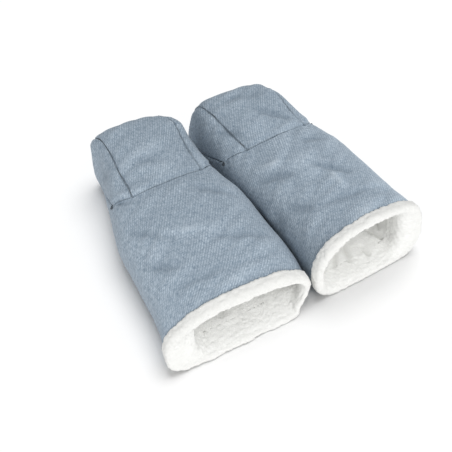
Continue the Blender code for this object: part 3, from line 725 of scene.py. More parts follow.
def thicken(piece, thickness):
    """Give an open sheet its thickness, inwards."""
    solid = piece.modifiers.new("thickness", "SOLIDIFY")
    solid.thickness = thickness
    solid.offset = -1.0
    data = baked_mesh(piece)
    piece.modifiers.clear()
    piece.data = data
    return piece


# Relief of the cloth

def seam_pull(distance, along):
    """How far the cloth sinks towards a seam, with the puckers that the thread draws."""
    drift = PUCKER_SWING * np.sin(2.0 * math.pi * along / PUCKER_DRIFT)
    waves = np.sin(2.0 * math.pi * along / PUCKER_LENGTH + drift)
    near = fade(distance - PUCKER_PLACE, PUCKER_REACH)
    return SEAM_DIP * fade(distance, SEAM_DIP_REACH) - PUCKER_HEIGHT * waves * near


def cross_pull(run, across):
    """How far the hood's cloth sinks at the cross seam, with the ridge over the seam's allowance."""
    return seam_pull(run, across) - SEAM_RIDGE * fade(run - SEAM_RIDGE_PLACE, SEAM_RIDGE_REACH)


def seam_shade(distance):
    """How deep in the groove of a seam a point lies, from 0 on the flat cloth to 1, by which the material
    paints shade in the groove.
    """
    return held(1.0 - (distance - SEAM_HALF_GAP) / SEAM_ROLL) ** 2


def cross_shade(muff, distance, column):
    """How deep in the cross seam a point lies, and how much painted shade the seam gets there."""
    columns, shares = muff["cross_seam_shares"]
    return seam_shade(distance) * np.interp(column, columns, shares)


def end_distance(place):
    """Distance along the hood's rounded end to the edge of its far wall."""
    return np.sqrt(2.0 * HOOD_END_RADIUS * np.maximum(LENGTH - place, 0.0))


def laid_out(muff, place, column):
    """Distance round the muff and along it, which turn the wall into a plane."""
    place, column = spread(place, column)
    return column_distance(muff, np.mod(column, 4.0)), place


def creases(muff, place, column):
    """Height of the named folds and of the wrinkles that run across the muff."""
    across, along = laid_out(muff, place, column)
    lines = np.stack([across / WRINKLE_WIDTH, (along + WRINKLE_SLANT * across) / WRINKLE_LENGTH,
                      0.0 * across + muff["seed"]], axis=-1)
    on_top = held((column - TOP_START) / TOP_FADE) * held((TOP_END - column) / TOP_FADE)
    height = -(WRINKLE_HEIGHT + TOP_WRINKLE_HEIGHT * on_top) * (1.0 - 2.0 * np.abs(noise_field(lines, 1.0)))
    for place_a, column_a, place_b, column_b, width, rise in muff["folds"]:
        across_a, _ = laid_out(muff, place_a, column_a)
        across_b, _ = laid_out(muff, place_b, column_b)
        step = np.array([across_b - across_a, place_b - place_a])
        share = ((across - across_a) * step[0] + (along - place_a) * step[1]) / np.dot(step, step)
        aside = np.hypot(across - across_a - share * step[0], along - place_a - share * step[1])
        taper = np.sin(math.pi * held(share)) ** FOLD_END_POWER
        height = height + rise * taper * fade(aside, width)
    return height


def rim_dent(muff, points):
    """How far every layer is pushed back along x near some places of the rim."""
    shift = 0.0 * points[..., 0]
    for place, column, reach, depth in muff["rim_dents"]:
        middle = muff_points(muff, place, column)
        side = np.sign(middle[0] - outline(muff, place, 0.0)[3])
        shift = shift - side * depth * hump(points, middle, reach)
    return shift


def mouth_fill(muff, points, place, depth):
    """How far the fleece at an end of the mouth reaches along x towards its middle."""
    inside = held((depth - CUFF_MIDDLE) / (LINING_BOTTOM - CUFF_MIDDLE))
    fading = held((FILL_END - place) / (FILL_END - CUFF_FLARE))
    side, _, _, centre, _, _ = outline(muff, place, LINING_BOTTOM)
    shift = 0.0 * points[..., 0]
    for sign, amount, reach in muff["mouth_fills"]:
        away = held(np.abs(points[..., 0] - centre - sign * side) / reach)
        shift = shift - sign * amount * (1.0 - away) ** 2
    return shift * inside * fading * fading * (3.0 - 2.0 * fading)


def slack(muff, place, column):
    """The slack of padded cloth: creases, named swells and shallow dents."""
    points = muff_points(muff, place, column)
    height = layered(0.0, noise_field, points, SLACK_LAYERS, muff["seed"])
    for at_place, at_column, reach, rise in muff["swells"]:
        height = height + rise * hump(points, muff_points(muff, at_place, at_column), reach)
    return height + creases(muff, place, column)


def crease_mark(muff, place, column):
    """From -1 in a deep crease to 1 on a high one, by which the colour gets painted shade in creases and
    painted highlight on ridges.
    """
    return np.clip(creases(muff, place, column) / CREASE_DEPTH, -1.0, 1.0)


def roll_depth(distance, radius):
    """Depth of a rolled edge at a distance from it."""
    inside = np.clip(radius - distance, 0.0, radius)
    return radius - np.sqrt(radius ** 2 - inside ** 2)


def raised(muff, points, place, column, depth, height):
    """Points moved out by a height, which fades away on what is turned in."""
    shown = held(1.0 - depth / RELIEF_FADE)
    return points + wall_normals(muff, place, column) * (height * shown)[..., None]


def cloth_at(muff, place, column):
    """Cloth coordinates in metres: round the muff and along it."""
    return np.stack([column_distance(muff, column), place + 0.0 * column], axis=-1)


def closed_cloth(muff, place, column):
    """Cloth coordinates for a grid that closes on itself, which need one more column."""
    cloth = cloth_at(muff, place, column)
    last = cloth[:, :1] + np.array([line_places(muff)[-1], 0.0])
    return np.concatenate([cloth, last], axis=1)


def cross_seam(column):
    """Place of the cross seam by column: straight over the top, and forward to the tacks beside it."""
    fold = held(np.minimum(column, 3.0 - column))
    return TACK_PLACE + (SLEEVE_LENGTH - TACK_PLACE) * fold


def hinge_line(muff, column):
    """Place where the flap begins by column: straight from the hinge on the ground to the tacks."""
    points = muff_points(muff, np.full_like(column, TACK_PLACE), column)
    return HINGE_PLACE + (TACK_PLACE - HINGE_PLACE) * np.minimum(points[..., 2] / TACK_HEIGHT, 1.0)


def flap_rise(place):
    """Share of its rise that the flap has reached, behind its padding."""
    rise = held((place - PADDING_END) / FLAP_RISE_LENGTH)
    return rise * rise * (3.0 - 2.0 * rise)


# Twill pieces

def flap_steps(muff):
    """Steps across the flap: over its outside, round one hem, back inside and round the other."""
    length = column_length(muff, 3)
    steps = hem_edge(START_HEM)[::-1] + growing(FROM_START, SLIT_HALF_GAP + HEM_RADIUS)
    steps += middle_steps(length - 2 * steps[-1][1], CLOTH_STEP)
    steps += growing(FROM_END, SLIT_HALF_GAP + HEM_RADIUS)[::-1] + hem_edge(END_HEM)
    inner = [(INNER, share, 0.0) for share in even_shares(round(length / INNER_STEP))[1:-1]]
    return steps, inner


def flap_grid(muff):
    """The flap's closed skin, from the hinge line to its end, where it is folded shut."""
    outer, inner = flap_steps(muff)
    steps = outer + inner
    nominal_length = column_length(muff, 3)
    nominal = 3.0 + lay_steps(steps, nominal_length)[0] / nominal_length
    start = hinge_line(muff, nominal)[None, :]
    place = rows_between(start, FLAP_END, FLAP_END - HINGE_PLACE, CLOTH_STEP)
    length = part_length(muff, 3, place)
    thick = THIN_HEM_RADIUS + (HEM_RADIUS - THIN_HEM_RADIUS) * (1.0 - flap_rise(place))
    radius = thick * held((place - start) / HEM_START_LENGTH)
    distance, depth = lay_steps(steps, length, radius)
    column = 3.0 + distance / length
    column = column + (nominal - column[:1]) * held(1.0 - (place - start) / FLAP_FADE_LENGTH)
    turns = quarter_turn(EDGE_STEPS + 1)[1:, None]
    place = np.concatenate([place, FLAP_END + THIN_HEM_RADIUS * np.sin(turns) + 0.0 * start])
    column = np.concatenate([column] + [column[-1:]] * EDGE_STEPS)
    folded = THIN_HEM_RADIUS + (depth[-1:] - THIN_HEM_RADIUS) * np.cos(turns)
    depth = np.concatenate([depth, folded])
    lift = FLAP_LIFT * flap_rise(place)
    points = muff_points(muff, place, column, depth, lift)
    points = raised(muff, points, place, column, depth, slack(muff, place, column))
    return points, closed_cloth(muff, place, column), crease_mark(muff, place, column)


def add_sleeve_skin(muff, material):
    """The twill skin of the sleeve and, in one with it, of the flap below the hood."""
    outer = [step for step in flap_steps(muff)[0] if step[0] in (FROM_START, MIDDLE, FROM_END)]
    nominal_length = column_length(muff, 3)
    outer = [(FROM_START, SLIT_HALF_GAP, 0.0)] + outer + [(FROM_END, SLIT_HALF_GAP, 0.0)]
    below = 3.0 + lay_steps(outer, nominal_length)[0] / nominal_length
    lengths = np.diff(line_places(muff))
    over = [part + np.arange(round(lengths[part] / CLOTH_STEP)) / round(lengths[part] / CLOTH_STEP)
            for part in range(3)]
    columns = np.concatenate(over + [[3.0], below])
    ends = np.where(columns > 3.0, hinge_line(muff, columns), cross_seam(columns))[None, :]
    first = CUFF_TRIM_WIDTH - SKIN_BELOW_TRIM
    flat_steps = middle_steps(SLEEVE_LENGTH - first, CLOTH_STEP)
    flat_steps = [(FROM_START, 0.0, 0.0)] + flat_steps + growing(FROM_END, SEAM_HALF_GAP + SEAM_ROLL)[::-1]
    room = (ends - first).T
    run, depth = lay_steps(flat_steps + seam_edge(FROM_END), room)
    flat_run, _ = lay_steps(flat_steps + [(FROM_END, 0.0, 0.0)] * (ROLL_STEPS + 1), room)
    sewn = held(np.minimum(columns, 3.0 - columns) / TACK_FADE)[None, :]
    place = first + run.T * sewn + flat_run.T * (1.0 - sewn)
    depth = depth.T * sewn
    column = np.broadcast_to(columns[None, :], place.shape)
    pull = seam_pull(ends - place, column * lengths[0]) * sewn
    tuck = CUFF_TUCK * held((CUFF_TRIM_WIDTH + CUFF_TUCK_LENGTH - place) / CUFF_TUCK_LENGTH) ** 2
    points = raised(muff, muff_points(muff, place, column, depth), place, column, depth,
                    slack(muff, place, column) - pull - tuck)
    points[..., 0] += rim_dent(muff, muff_points(muff, place, column))
    flap, flap_cloth, flap_creases = flap_grid(muff)
    grids = [(points, closed_cloth(muff, place, column), True), (flap, flap_cloth, True)]
    # Marks for the material: painted shade in the cross seam's groove, and painted shade and highlight on
    # the creases
    marks = {"Sunk": [cross_shade(muff, ends - place, column) * sewn, np.zeros(flap.shape[:2])],
             "Crease": [crease_mark(muff, place, column), flap_creases]}
    return weld(mesh_piece(muff, "sleeve_skin", grids, material, marks))


def gusset_steps(muff, part):
    """Steps across a gusset: a hem at the slit and a seam at the strip."""
    length = column_length(muff, part)
    tail = [(START_TAIL, value, 0.0) for value in np.linspace(HEM_TAIL, 0.0, EDGE_STEPS)[:-1]]
    steps = tail + hem_edge(START_HEM)[::-1] + growing(FROM_START, SLIT_HALF_GAP + HEM_RADIUS)
    seam_side = growing(FROM_END, SEAM_HALF_GAP + SEAM_ROLL)[::-1] + seam_edge(FROM_END)
    steps += middle_steps(length - steps[-1][1] - seam_side[0][1], CLOTH_STEP)
    return steps + seam_side


def hood_rows():
    """Steps along the hood: a seam at the sleeve, and close steps where the end is rounded."""
    turns = quarter_turn(END_STEPS)
    fine = math.pi / 2 - np.linspace(SEAM_ROLL, 0.0, ROLL_STEPS) / HOOD_END_RADIUS
    turns = np.concatenate([turns[:-1], fine])
    steps = seam_edge(FROM_START)[::-1] + growing(FROM_START, SEAM_HALF_GAP + SEAM_ROLL)
    steps += middle_steps(HOOD_LENGTH - HOOD_END_RADIUS - steps[-1][1], CLOTH_STEP)
    return steps + [(FROM_END, HOOD_END_RADIUS * (1.0 - math.sin(turn)), 0.0) for turn in turns]


def add_gusset(muff, name, material):
    """One of the hood's two side gussets."""
    part = 0 if name == "right" else 2
    steps = gusset_steps(muff, part)
    nominal_length = column_length(muff, part)
    start = cross_seam(lay_steps(steps, nominal_length)[0] / nominal_length)[None, :]
    run, row_depth = lay_steps(hood_rows(), (LENGTH - start).T)
    place = start + run.T
    length = part_length(muff, part, place)
    radius = HEM_RADIUS * held((place - start) / HEM_START_LENGTH)
    distance, depth = lay_steps(steps, length, radius)
    column = distance / length if name == "right" else 3.0 - distance / length
    far = roll_depth(end_distance(place), SEAM_ROLL)
    total = np.sqrt(depth ** 2 + row_depth.T ** 2 + far ** 2)
    pull = seam_pull(length - distance, place) + cross_pull(place - start, distance)
    pull = pull + seam_pull(end_distance(place), distance)
    # Painted shade in the grooves of the seams
    shade = np.maximum(seam_shade(length - distance), cross_shade(muff, place - start, column))
    shade = np.maximum(shade, seam_shade(end_distance(place) + SEAM_HALF_GAP))
    points = raised(muff, muff_points(muff, place, column, total), place, column, total,
                    slack(muff, place, column) - pull)
    points = np.concatenate([points, points[-1:] - np.array([0.0, SEAM_ALLOWANCE, 0.0])])
    shade = np.concatenate([shade, np.ones_like(shade[-1:])])
    folds = with_last(crease_mark(muff, place, column))
    cloth = with_last(cloth_at(muff, place, column))
    if name == "left":
        points, cloth, shade, folds = (grid[:, ::-1] for grid in (points, cloth, shade, folds))
    piece = mesh_piece(muff, f"hood_{name}_gusset_skin", [(points, cloth, False)], material,
                       {"Sunk": [shade], "Crease": [folds]})
    return thicken(piece, CLOTH_THICKNESS)


def far_wall(muff, share, down):
    """Points of the hood's far wall: share across from its right edge, and share down to the hem."""
    edge = muff_points(muff, LENGTH, 1.0 + share)
    sides = []
    for corner, column in ((1.0, np.maximum(1.0 - down, 0.0)), (2.0, np.minimum(2.0 + down, 3.0))):
        side = muff_points(muff, LENGTH, column, WALL_INSET)
        top = muff_points(muff, LENGTH, corner)[2]
        high = held((side[..., 2] - SLIT_FOOT) / (top - WALL_INSET - SLIT_FOOT))
        sides.append((side[..., 0], high))
    (right_x, right_high), (left_x, left_high) = sides
    foot = HEM_BOTTOM + HEM_THICKNESS / 2
    x = right_x + (left_x - right_x) * share
    z = foot + (edge[..., 2] - foot) * (right_high + (left_high - right_high) * share)
    bulge = WALL_BULGE * np.sin(math.pi * share) * np.sin(math.pi * held(down))
    return np.stack([x, LENGTH + bulge, z], axis=-1)


def add_strip(muff, material):
    """The strip over the hood's top and down its far wall, to the hem."""
    length = column_length(muff, 1)
    edge = seam_edge(FROM_START)[::-1] + growing(FROM_START, SEAM_HALF_GAP + SEAM_ROLL)
    steps = edge + middle_steps(length - 2 * edge[-1][1], CLOTH_STEP)
    steps += mirrored(edge)
    run, row_depth = lay_steps(hood_rows(), np.array([[HOOD_LENGTH]]))
    place = SLEEVE_LENGTH + run.T
    across = part_length(muff, 1, place)
    distance, depth = lay_steps(steps, across)
    total = np.sqrt(depth ** 2 + row_depth.T ** 2)
    place = place + 0.0 * distance
    ending = held((place - LENGTH + HOOD_END_RADIUS) / HOOD_END_RADIUS)
    column = 1.0 + distance / across
    outside = muff_points(muff, place, column)
    points = muff_points(muff, place - total * ending, column, total)
    side_distance = np.minimum(distance, across - distance)
    pull = seam_pull(side_distance, place) + cross_pull(place - SLEEVE_LENGTH, distance)
    loose = slack(muff, place, column)
    wall_height = outside[-1, :, 2].mean() - HEM_BOTTOM
    down = even_shares(round(wall_height / WALL_STEP))[1:, None]
    share = (distance / across)[-1:] + 0.0 * down
    down = down + 0.0 * share
    wall_outside = far_wall(muff, share, down)
    wall = wall_outside - depth[-1:, :, None] * np.array([0.0, 1.0, 0.0])
    wall_distance = np.minimum(share, 1.0 - share) * across[-1:]
    pull = np.concatenate([pull, seam_pull(wall_distance, down * wall_height + LENGTH)])
    total = np.concatenate([total, depth[-1:] + 0.0 * down])
    dents = WALL_DENT * noise_field(wall_outside, WALL_DENT_SIZE)
    loose = np.concatenate([loose, loose[-1:] * (1.0 - down) + dents])
    outside = np.concatenate([outside, wall_outside])
    points = np.concatenate([points, wall])
    height = (loose - pull) * held(1.0 - total / RELIEF_FADE)
    points = points + grid_normals(outside) * height[..., None]
    radius = HEM_THICKNESS / 2
    hem = [points[-1] + np.array([0.0, -radius * (1.0 - math.cos(turn)), -radius * math.sin(turn)])
           for turn in np.linspace(0.0, math.pi, ROLL_STEPS)[1:]]
    hem += [hem[-1] + np.array([0.0, 0.0, rise]) for rise in np.linspace(0.0, HEM_TAIL, 3)[1:]]
    points = np.concatenate([points, np.stack(hem)])
    # Painted shade in the grooves of the seams
    shade = np.maximum(seam_shade(side_distance), cross_shade(muff, place - SLEEVE_LENGTH, column))
    shade = np.concatenate([shade, seam_shade(wall_distance), 0.0 * points[-len(hem):, :, 0]])
    folds = np.concatenate([crease_mark(muff, place, column), 0.0 * points[-len(hem) - len(down):, :, 0]])
    cloth = cloth_at(muff, place, column)
    drops = np.concatenate([down[:, 0] * wall_height, wall_height + WALL_STEP * np.arange(1, len(hem) + 1)])
    cloth = np.concatenate([cloth] + [cloth[-1:] + np.array([0.0, drop]) for drop in drops])
    piece = mesh_piece(muff, "hood_strip_skin", [(points, cloth, False)], material,
                       {"Sunk": [shade], "Crease": [folds]})
    return thicken(piece, CLOTH_THICKNESS)


# Fleece pieces

def fleece_folds(muff, points):
    """Height of the named folds of the fleece inside the cuff."""
    height = 0.0 * points[..., 0]
    for place_a, column_a, place_b, column_b, width, rise in muff["fleece_folds"]:
        one = muff_points(muff, place_a, column_a, LINING_BOTTOM)
        other = muff_points(muff, place_b, column_b, LINING_BOTTOM)
        step = other - one
        share = held((points - one) @ step / np.dot(step, step))
        aside = np.linalg.norm(points - one - share[..., None] * step, axis=-1)
        height = height + rise * np.sin(math.pi * share) ** FOLD_END_POWER * fade(aside, width)
    return height


def fleece_height(muff, points, inside):
    """Pile of the fleece: curly clumps with finer ones on them, and its swells and folds inside."""
    height = layered(0.0, clump_field, points, PILE_CLUMPS, muff["seed"])
    height = layered(height, noise_field, points, PILE_LAYERS, muff["seed"])
    for place, column, reach, rise in muff["fleece_swells"]:
        middle = muff_points(muff, place, column, LINING_BOTTOM)
        height = height + inside * rise * hump(points, middle, reach)
    return height + inside * fleece_folds(muff, points)


def fleece_mark(muff, points):
    """From 0 on the open fleece to -1 in its deep folds and clefts, where the material paints shade."""
    _, size, offset = PILE_CLUMPS[0]
    clefts = clump_field(points, size, muff["seed"] + offset) - 1.0
    return np.clip(fleece_folds(muff, points) / CREASE_DEPTH + CLEFT_SHARE * clefts, -1.0, 0.0)


def cuff_path():
    """Places and depths round the cuff's fold: along the trim, round the rim and in."""
    path = [(CUFF_TRIM_WIDTH + past, depth) for past, depth in TRIM_EDGE]
    for place in np.arange(CUFF_TRIM_WIDTH - FLEECE_STEP, CUFF_HALF_WALL, -FLEECE_STEP):
        path.append((place, -CUFF_PROUD))
    for turn in quarter_turn(RIM_STEPS):
        path.append((CUFF_HALF_WALL * (1.0 - math.sin(turn)),
                     CUFF_MIDDLE - CUFF_HALF_WALL * math.cos(turn)))
    for turn in np.linspace(math.pi / 2, math.pi, FLARE_STEPS)[1:]:
        path.append((CUFF_FLARE * (1.0 - math.sin(turn)),
                     CUFF_MIDDLE + (CUFF_MIDDLE - LINING_BOTTOM) * math.cos(turn)))
    for place in np.arange(CUFF_FLARE + FLEECE_STEP, CUFF_TURN_IN + LINING_OVERLAP, FLEECE_STEP):
        path.append((place, LINING_BOTTOM))
    path.append((CUFF_TURN_IN + LINING_OVERLAP, LINING_TOP))
    return np.array(path)


def even_columns(muff, step):
    """Columns at even distances all round the muff, without the last, which is the first again."""
    places = line_places(muff)
    count = round(places[-1] / step)
    return np.interp(np.linspace(0.0, places[-1], count + 1)[:-1], places, LINE_COLUMNS)


def add_cuff(muff, material):
    """The fleece band that is folded round the sleeve's rim."""
    path = cuff_path()
    column = even_columns(muff, FLEECE_STEP)[None, :] + 0.0 * path[:, :1]
    place = path[:, :1] + 0.0 * column
    points = muff_points(muff, place, column, path[:, 1:])
    points[..., 0] += mouth_fill(muff, points, place, path[:, 1:]) + rim_dent(muff, points)
    run = run_along(path)[:, None]
    ends = held(np.minimum(run, run[-1] - run) / PILE_FADE)
    inside = held((path[:, 1:] - CUFF_HALF_WALL) / PILE_FADE)
    height = fleece_height(muff, points, inside) * ends * (1.0 + FLUFF * (1.0 - inside))
    # Painted shade: darker in the fleece's folds and clefts inside, and evenly darker over the rolled outer
    # rim
    marks = {"Crease": [(fleece_mark(muff, points) * inside - OUTER_RIM_SHADE * (1.0 - inside))[::-1]]}
    points = points - grid_normals(points, True) * height[..., None]
    cloth = closed_cloth(muff, run + 0.0 * column, column)
    piece = mesh_piece(muff, "cuff_band", [(points[::-1], cloth[::-1], True)], material, marks)
    return thicken(piece, FLEECE_THICKNESS)


def lining_points(muff, place, column, depth):
    """Points of fleece that faces inwards."""
    base = muff_points(muff, place, column, depth)
    height = fleece_height(muff, base, 1.0) * held((depth - LINING_TOP) / LINING_FADE)
    points = base - wall_normals(muff, place, column) * height[..., None]
    points[..., 0] += mouth_fill(muff, base, place, depth) + rim_dent(muff, base)
    return points


def add_hood_fleece(muff, material):
    """The fleece that lines the hood, with its far wall."""
    over = line_places(muff)[3]
    roll = LINING_BOTTOM - LINING_TOP
    edge = [(FROM_START, SLIT_HALF_GAP + HEM_RADIUS + roll * (1.0 - math.sin(turn)),
             roll * (1.0 - math.cos(turn))) for turn in np.linspace(math.pi / 2, 0.0, EDGE_STEPS)]
    steps = edge + middle_steps(over - 2 * edge[-1][1], LINING_STEP)
    steps += mirrored(edge)
    distance, rolled = lay_steps(steps, np.array([[over]]))
    column = np.interp(distance, line_places(muff), LINE_COLUMNS)
    start = cross_seam(column) - HOOD_LINING_OVERLAP
    far = LENGTH - LINING_BOTTOM
    flat_end = far - HOOD_END_RADIUS
    turns = quarter_turn(END_STEPS)[1:, None]
    place = np.concatenate([rows_between(start, flat_end, flat_end - SLEEVE_LENGTH, LINING_STEP),
                            far - HOOD_END_RADIUS * (1.0 - np.sin(turns)) + 0.0 * start])
    column = column + 0.0 * place
    points = lining_points(muff, place, column, LINING_BOTTOM - rolled + 0.0 * place)
    last = points[-1]
    middle = last.mean(axis=0)
    shares = even_shares(HOOD_WALL_ROWS)[1:]
    points = np.concatenate([points, np.stack([last + (middle - last) * np.array([share, 0.0, 0.0])
                                               for share in shares])])
    cloth = cloth_at(muff, place, column)
    cloth = np.concatenate([cloth] + [cloth[-1:] + np.array([0.0, LINING_STEP * row])
                                      for row in range(1, 1 + len(shares))])
    piece = mesh_piece(muff, "hood_fleece", [(points[::-1], cloth[::-1], False)], material)
    return thicken(piece, FLEECE_THICKNESS)


def add_sleeve_fleece(muff, material):
    """The fleece that lines the sleeve and, in one with it, the flap."""
    columns = even_columns(muff, LINING_STEP)
    ends = np.where(columns > 3.0, hinge_line(muff, columns), cross_seam(columns))[None, :]
    first = CUFF_TURN_IN - LINING_OVERLAP
    place = rows_between(first, ends, SLEEVE_LENGTH, LINING_STEP)
    column = columns[None, :] + 0.0 * place
    risen = held((place - first) / (2 * LINING_OVERLAP)) ** 0.5
    tube = lining_points(muff, place, column, LINING_TOP + (LINING_BOTTOM - LINING_TOP) * risen)
    # Painted shade in the lining's folds and clefts
    tube_marks = fleece_mark(muff, muff_points(muff, place, column, LINING_BOTTOM))[::-1]
    grids = [(tube[::-1], closed_cloth(muff, place, column)[::-1], True)]
    below = columns[columns > 3.0]
    start = hinge_line(muff, below)[None, :]
    place = rows_between(start, PADDING_END, PADDING_END - HINGE_PLACE, LINING_STEP)
    column = below[None, :] + 0.0 * place
    length = part_length(muff, 3, place)
    opened = held((place - start) / HEM_START_LENGTH)
    edge = np.minimum(column - 3.0, 4.0 - column) * length
    inset = (SLIT_HALF_GAP + HEM_RADIUS) * opened * np.exp(-edge / FLAP_INSET_REACH)
    column = column + np.where(column < SOLE_MIDDLE, inset, -inset) / length
    edge = np.minimum(column - 3.0, 4.0 - column) * length - SLIT_HALF_GAP - HEM_RADIUS
    roll = LINING_BOTTOM - LINING_TOP
    side_roll = roll_depth(np.maximum(edge, 0.0), roll) * opened
    rolled = np.maximum(side_roll, roll_depth(PADDING_END - place, roll))
    flap = lining_points(muff, place, column, LINING_BOTTOM - rolled)
    flap = np.concatenate([flap, muff_points(muff, place[-1:], column[-1:], THIN_HEM_RADIUS * 2)])
    cloth = cloth_at(muff, place, column)
    cloth = np.concatenate([cloth, cloth[-1:] + np.array([0.0, LINING_BOTTOM])])
    grids.append((flap[::-1], cloth[::-1], False))
    marks = {"Crease": [tube_marks, np.zeros(flap.shape[:2])]}
    piece = mesh_piece(muff, "sleeve_fleece", grids, material, marks)
    return thicken(weld(piece), FLEECE_THICKNESS)


# Press studs, facings and bar tacks

STUD_PROFILE = [(0.0, 0.0028), (0.0013, 0.0028), (0.0019, 0.0024), (0.0019, 0.0018), (0.0015, 0.0014),
                (0.0017, 0.0010), (0.0042, 0.0010), (0.0050, 0.0006), (0.0050, 0.0), (0.0, 0.0)]
SOCKET_PROFILE = [(0.0, 0.0026), (0.0036, 0.0026), (0.0050, 0.0014), (0.0050, 0.0), (0.0040, 0.0),
                  (0.0034, 0.0006), (0.0028, 0.0), (0.0024, 0.0), (0.0024, 0.0020), (0.0, 0.0020)]
SOCKET_CAP_PROFILE = [(0.0, 0.0011), (0.0032, 0.0010), (0.0050, 0.0008), (0.0060, 0.0004), (0.0060, 0.0),
                      (0.0014, 0.0), (0.0014, -0.0019), (0.0, -0.0019)]
STUD_CAP_PROFILE = [(0.0, 0.0037), (0.0014, 0.0037), (0.0014, 0.0011), (0.0060, 0.0011), (0.0060, 0.0007),
                    (0.0050, 0.0003), (0.0032, 0.0001), (0.0, 0.0)]
STUD_PARTS = (
    ("stud", STUD_PROFILE, STUD_BOTTOM, "flap"),
    ("stud_cap", STUD_CAP_PROFILE, STUD_CAP_BOTTOM, "flap"),
    ("stud_socket", SOCKET_PROFILE, SOCKET_BOTTOM, "muff"),
    ("socket_cap", SOCKET_CAP_PROFILE, SOCKET_CAP_BOTTOM, "muff"),
)
PROFILE_ROUNDING = 0.00025
PROFILE_ROUNDING_STEPS = 3
LONGEST_ROUNDING_SHARE = 0.45
TURNED_COORDINATE = 0.03
SHARP_ANGLE = math.radians(40.0)
PLATE_SIDE_STEPS = 40
PLATE_CORNER_POWER = 14.0
PLATE_RINGS = 12
PLATE_EDGE_STEPS = 9
TACK_LENGTH = 0.0044
TACK_WIDTH = 0.0026
TACK_LOOPS = 9
TACK_LOOP_STEPS = 12
TACK_OUT = 0.0007
TACK_SWELL = 0.0005
TACK_SIDE_COLUMN = 0.03
THREAD_RADIUS = 0.00026
THREAD_ROUNDING = 2


def rounded(profile):
    """A profile with its inner corners rounded off."""
    points = [np.array(profile[0])]
    for before, corner, after in zip(profile[:-2], profile[1:-1], profile[2:]):
        corner = np.array(corner)
        sides = [np.array(before) - corner, np.array(after) - corner]
        reach = min([PROFILE_ROUNDING] + [LONGEST_ROUNDING_SHARE * np.linalg.norm(side) for side in sides])
        start, end = (corner + unit(side) * reach for side in sides)
        points += [(1 - t) ** 2 * start + 2 * t * (1 - t) * corner + t * t * end
                   for t in even_shares(PROFILE_ROUNDING_STEPS)]
    points.append(np.array(profile[-1]))
    return np.array(points)


def turned_piece(muff, name, profile, place, material):
    """A turned piece: a profile of radius and height from the top of its axis to the foot."""
    angles = np.linspace(0.0, 2.0 * math.pi, ROUND_SEGMENTS + 1)[:-1]
    ring = np.stack([np.cos(angles), np.sin(angles)], axis=-1)
    points = np.empty((len(profile), ROUND_SEGMENTS, 3))
    points[..., :2] = profile[:, None, :1] * ring[None] + np.array(place[:2])
    points[..., 2] = profile[:, None, 1] + place[2]
    turns = np.linspace(0.0, TURNED_COORDINATE, ROUND_SEGMENTS + 1)
    cloth = np.stack(spread(turns[None, :], run_along(profile)[:, None]), axis=-1)
    piece = weld(mesh_piece(muff, name, [(points, cloth, True)], material), FINE_WELD_DISTANCE)
    piece.data.set_sharp_from_angle(angle=SHARP_ANGLE)
    return piece


def add_studs(muff, material):
    """The press studs, their sockets and their caps."""
    centre = float(outline(muff, STUD_PLACE, 0.0)[3])
    for number, x in ((1, centre - STUD_PITCH / 2), (2, centre + STUD_PITCH / 2)):
        for name, profile, height, body in STUD_PARTS:
            node = f"{muff['side']}_{name}_{number}"
            piece = turned_piece(muff, f"{name}_{number}_turned", rounded(profile), (x, STUD_PLACE, height),
                                 material)
            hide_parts(node)
            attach(piece, f"{muff['side']}_{body}")


def cloth_plate(muff, name, low, high, material):
    """A flat folded piece of cloth with round edges, between two corners."""
    low = np.array(low)
    high = np.array(high)
    radius = (high[2] - low[2]) / 2
    turns = np.linspace(0.0, 2.0 * math.pi, 4 * PLATE_SIDE_STEPS + 1)[:-1]
    out = np.stack([np.cos(turns), np.sin(turns)], axis=-1)
    out = np.sign(out) * np.abs(out) ** (2.0 / PLATE_CORNER_POWER)
    half = (high[:2] - low[:2]) / 2 - radius
    shares = np.linspace(0.0, 1.0, PLATE_RINGS)[:-1]
    rings = [(out * half * share, radius) for share in shares]
    rings += [(out * (half + radius * math.cos(turn)), radius * math.sin(turn))
              for turn in np.linspace(math.pi / 2, -math.pi / 2, PLATE_EDGE_STEPS)]
    rings += [(out * half * share, -radius) for share in shares[::-1]]
    centre = (high + low) / 2
    points = np.stack([np.insert(flat + centre[:2], 2, centre[2] + lift, axis=1) for flat, lift in rings])
    cloth = np.concatenate([points[..., :2], points[:, :1, :2]], axis=1)
    return weld(mesh_piece(muff, name, [(points, cloth, True)], material), FINE_WELD_DISTANCE)


def add_facings(muff, material):
    """The hem facing that carries the sockets and the tab that carries the studs."""
    centre = float(outline(muff, STUD_PLACE, 0.0)[3])
    side = muff["side"]
    left = centre - HEM_HALF_WIDTH
    right = centre + HEM_HALF_WIDTH
    far = LENGTH - HEM_SETBACK
    hem = cloth_plate(muff, "hem_facing_cloth", (left, far - HEM_DEPTH, HEM_BOTTOM),
                      (right, far, HEM_BOTTOM + HEM_THICKNESS), material)
    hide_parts(f"{side}_hood_hem_facing")
    tab = cloth_plate(muff, "tab_cloth", (left, FLAP_END - TAB_LENGTH, TAB_BOTTOM),
                      (right, FLAP_END, TAB_BOTTOM + TAB_THICKNESS), material)
    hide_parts(f"{side}_flap_tab")
    for piece, body in ((hem, "muff"), (tab, "flap")):
        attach(piece, f"{side}_{body}")


def thread_mesh(route):
    """A mesh of thread that follows a route of points."""
    curve = bpy.data.curves.new("thread", "CURVE")
    curve.dimensions = "3D"
    curve.bevel_depth = THREAD_RADIUS
    curve.bevel_resolution = THREAD_ROUNDING
    curve.use_fill_caps = True
    spline = curve.splines.new("POLY")
    spline.points.add(len(route) - 1)
    for point, at in zip(spline.points, route):
        point.co = (*at, 1.0)
    path = add_object("thread", curve)
    bpy.context.view_layer.update()
    data = baked_mesh(path)
    bpy.data.objects.remove(path)
    return data


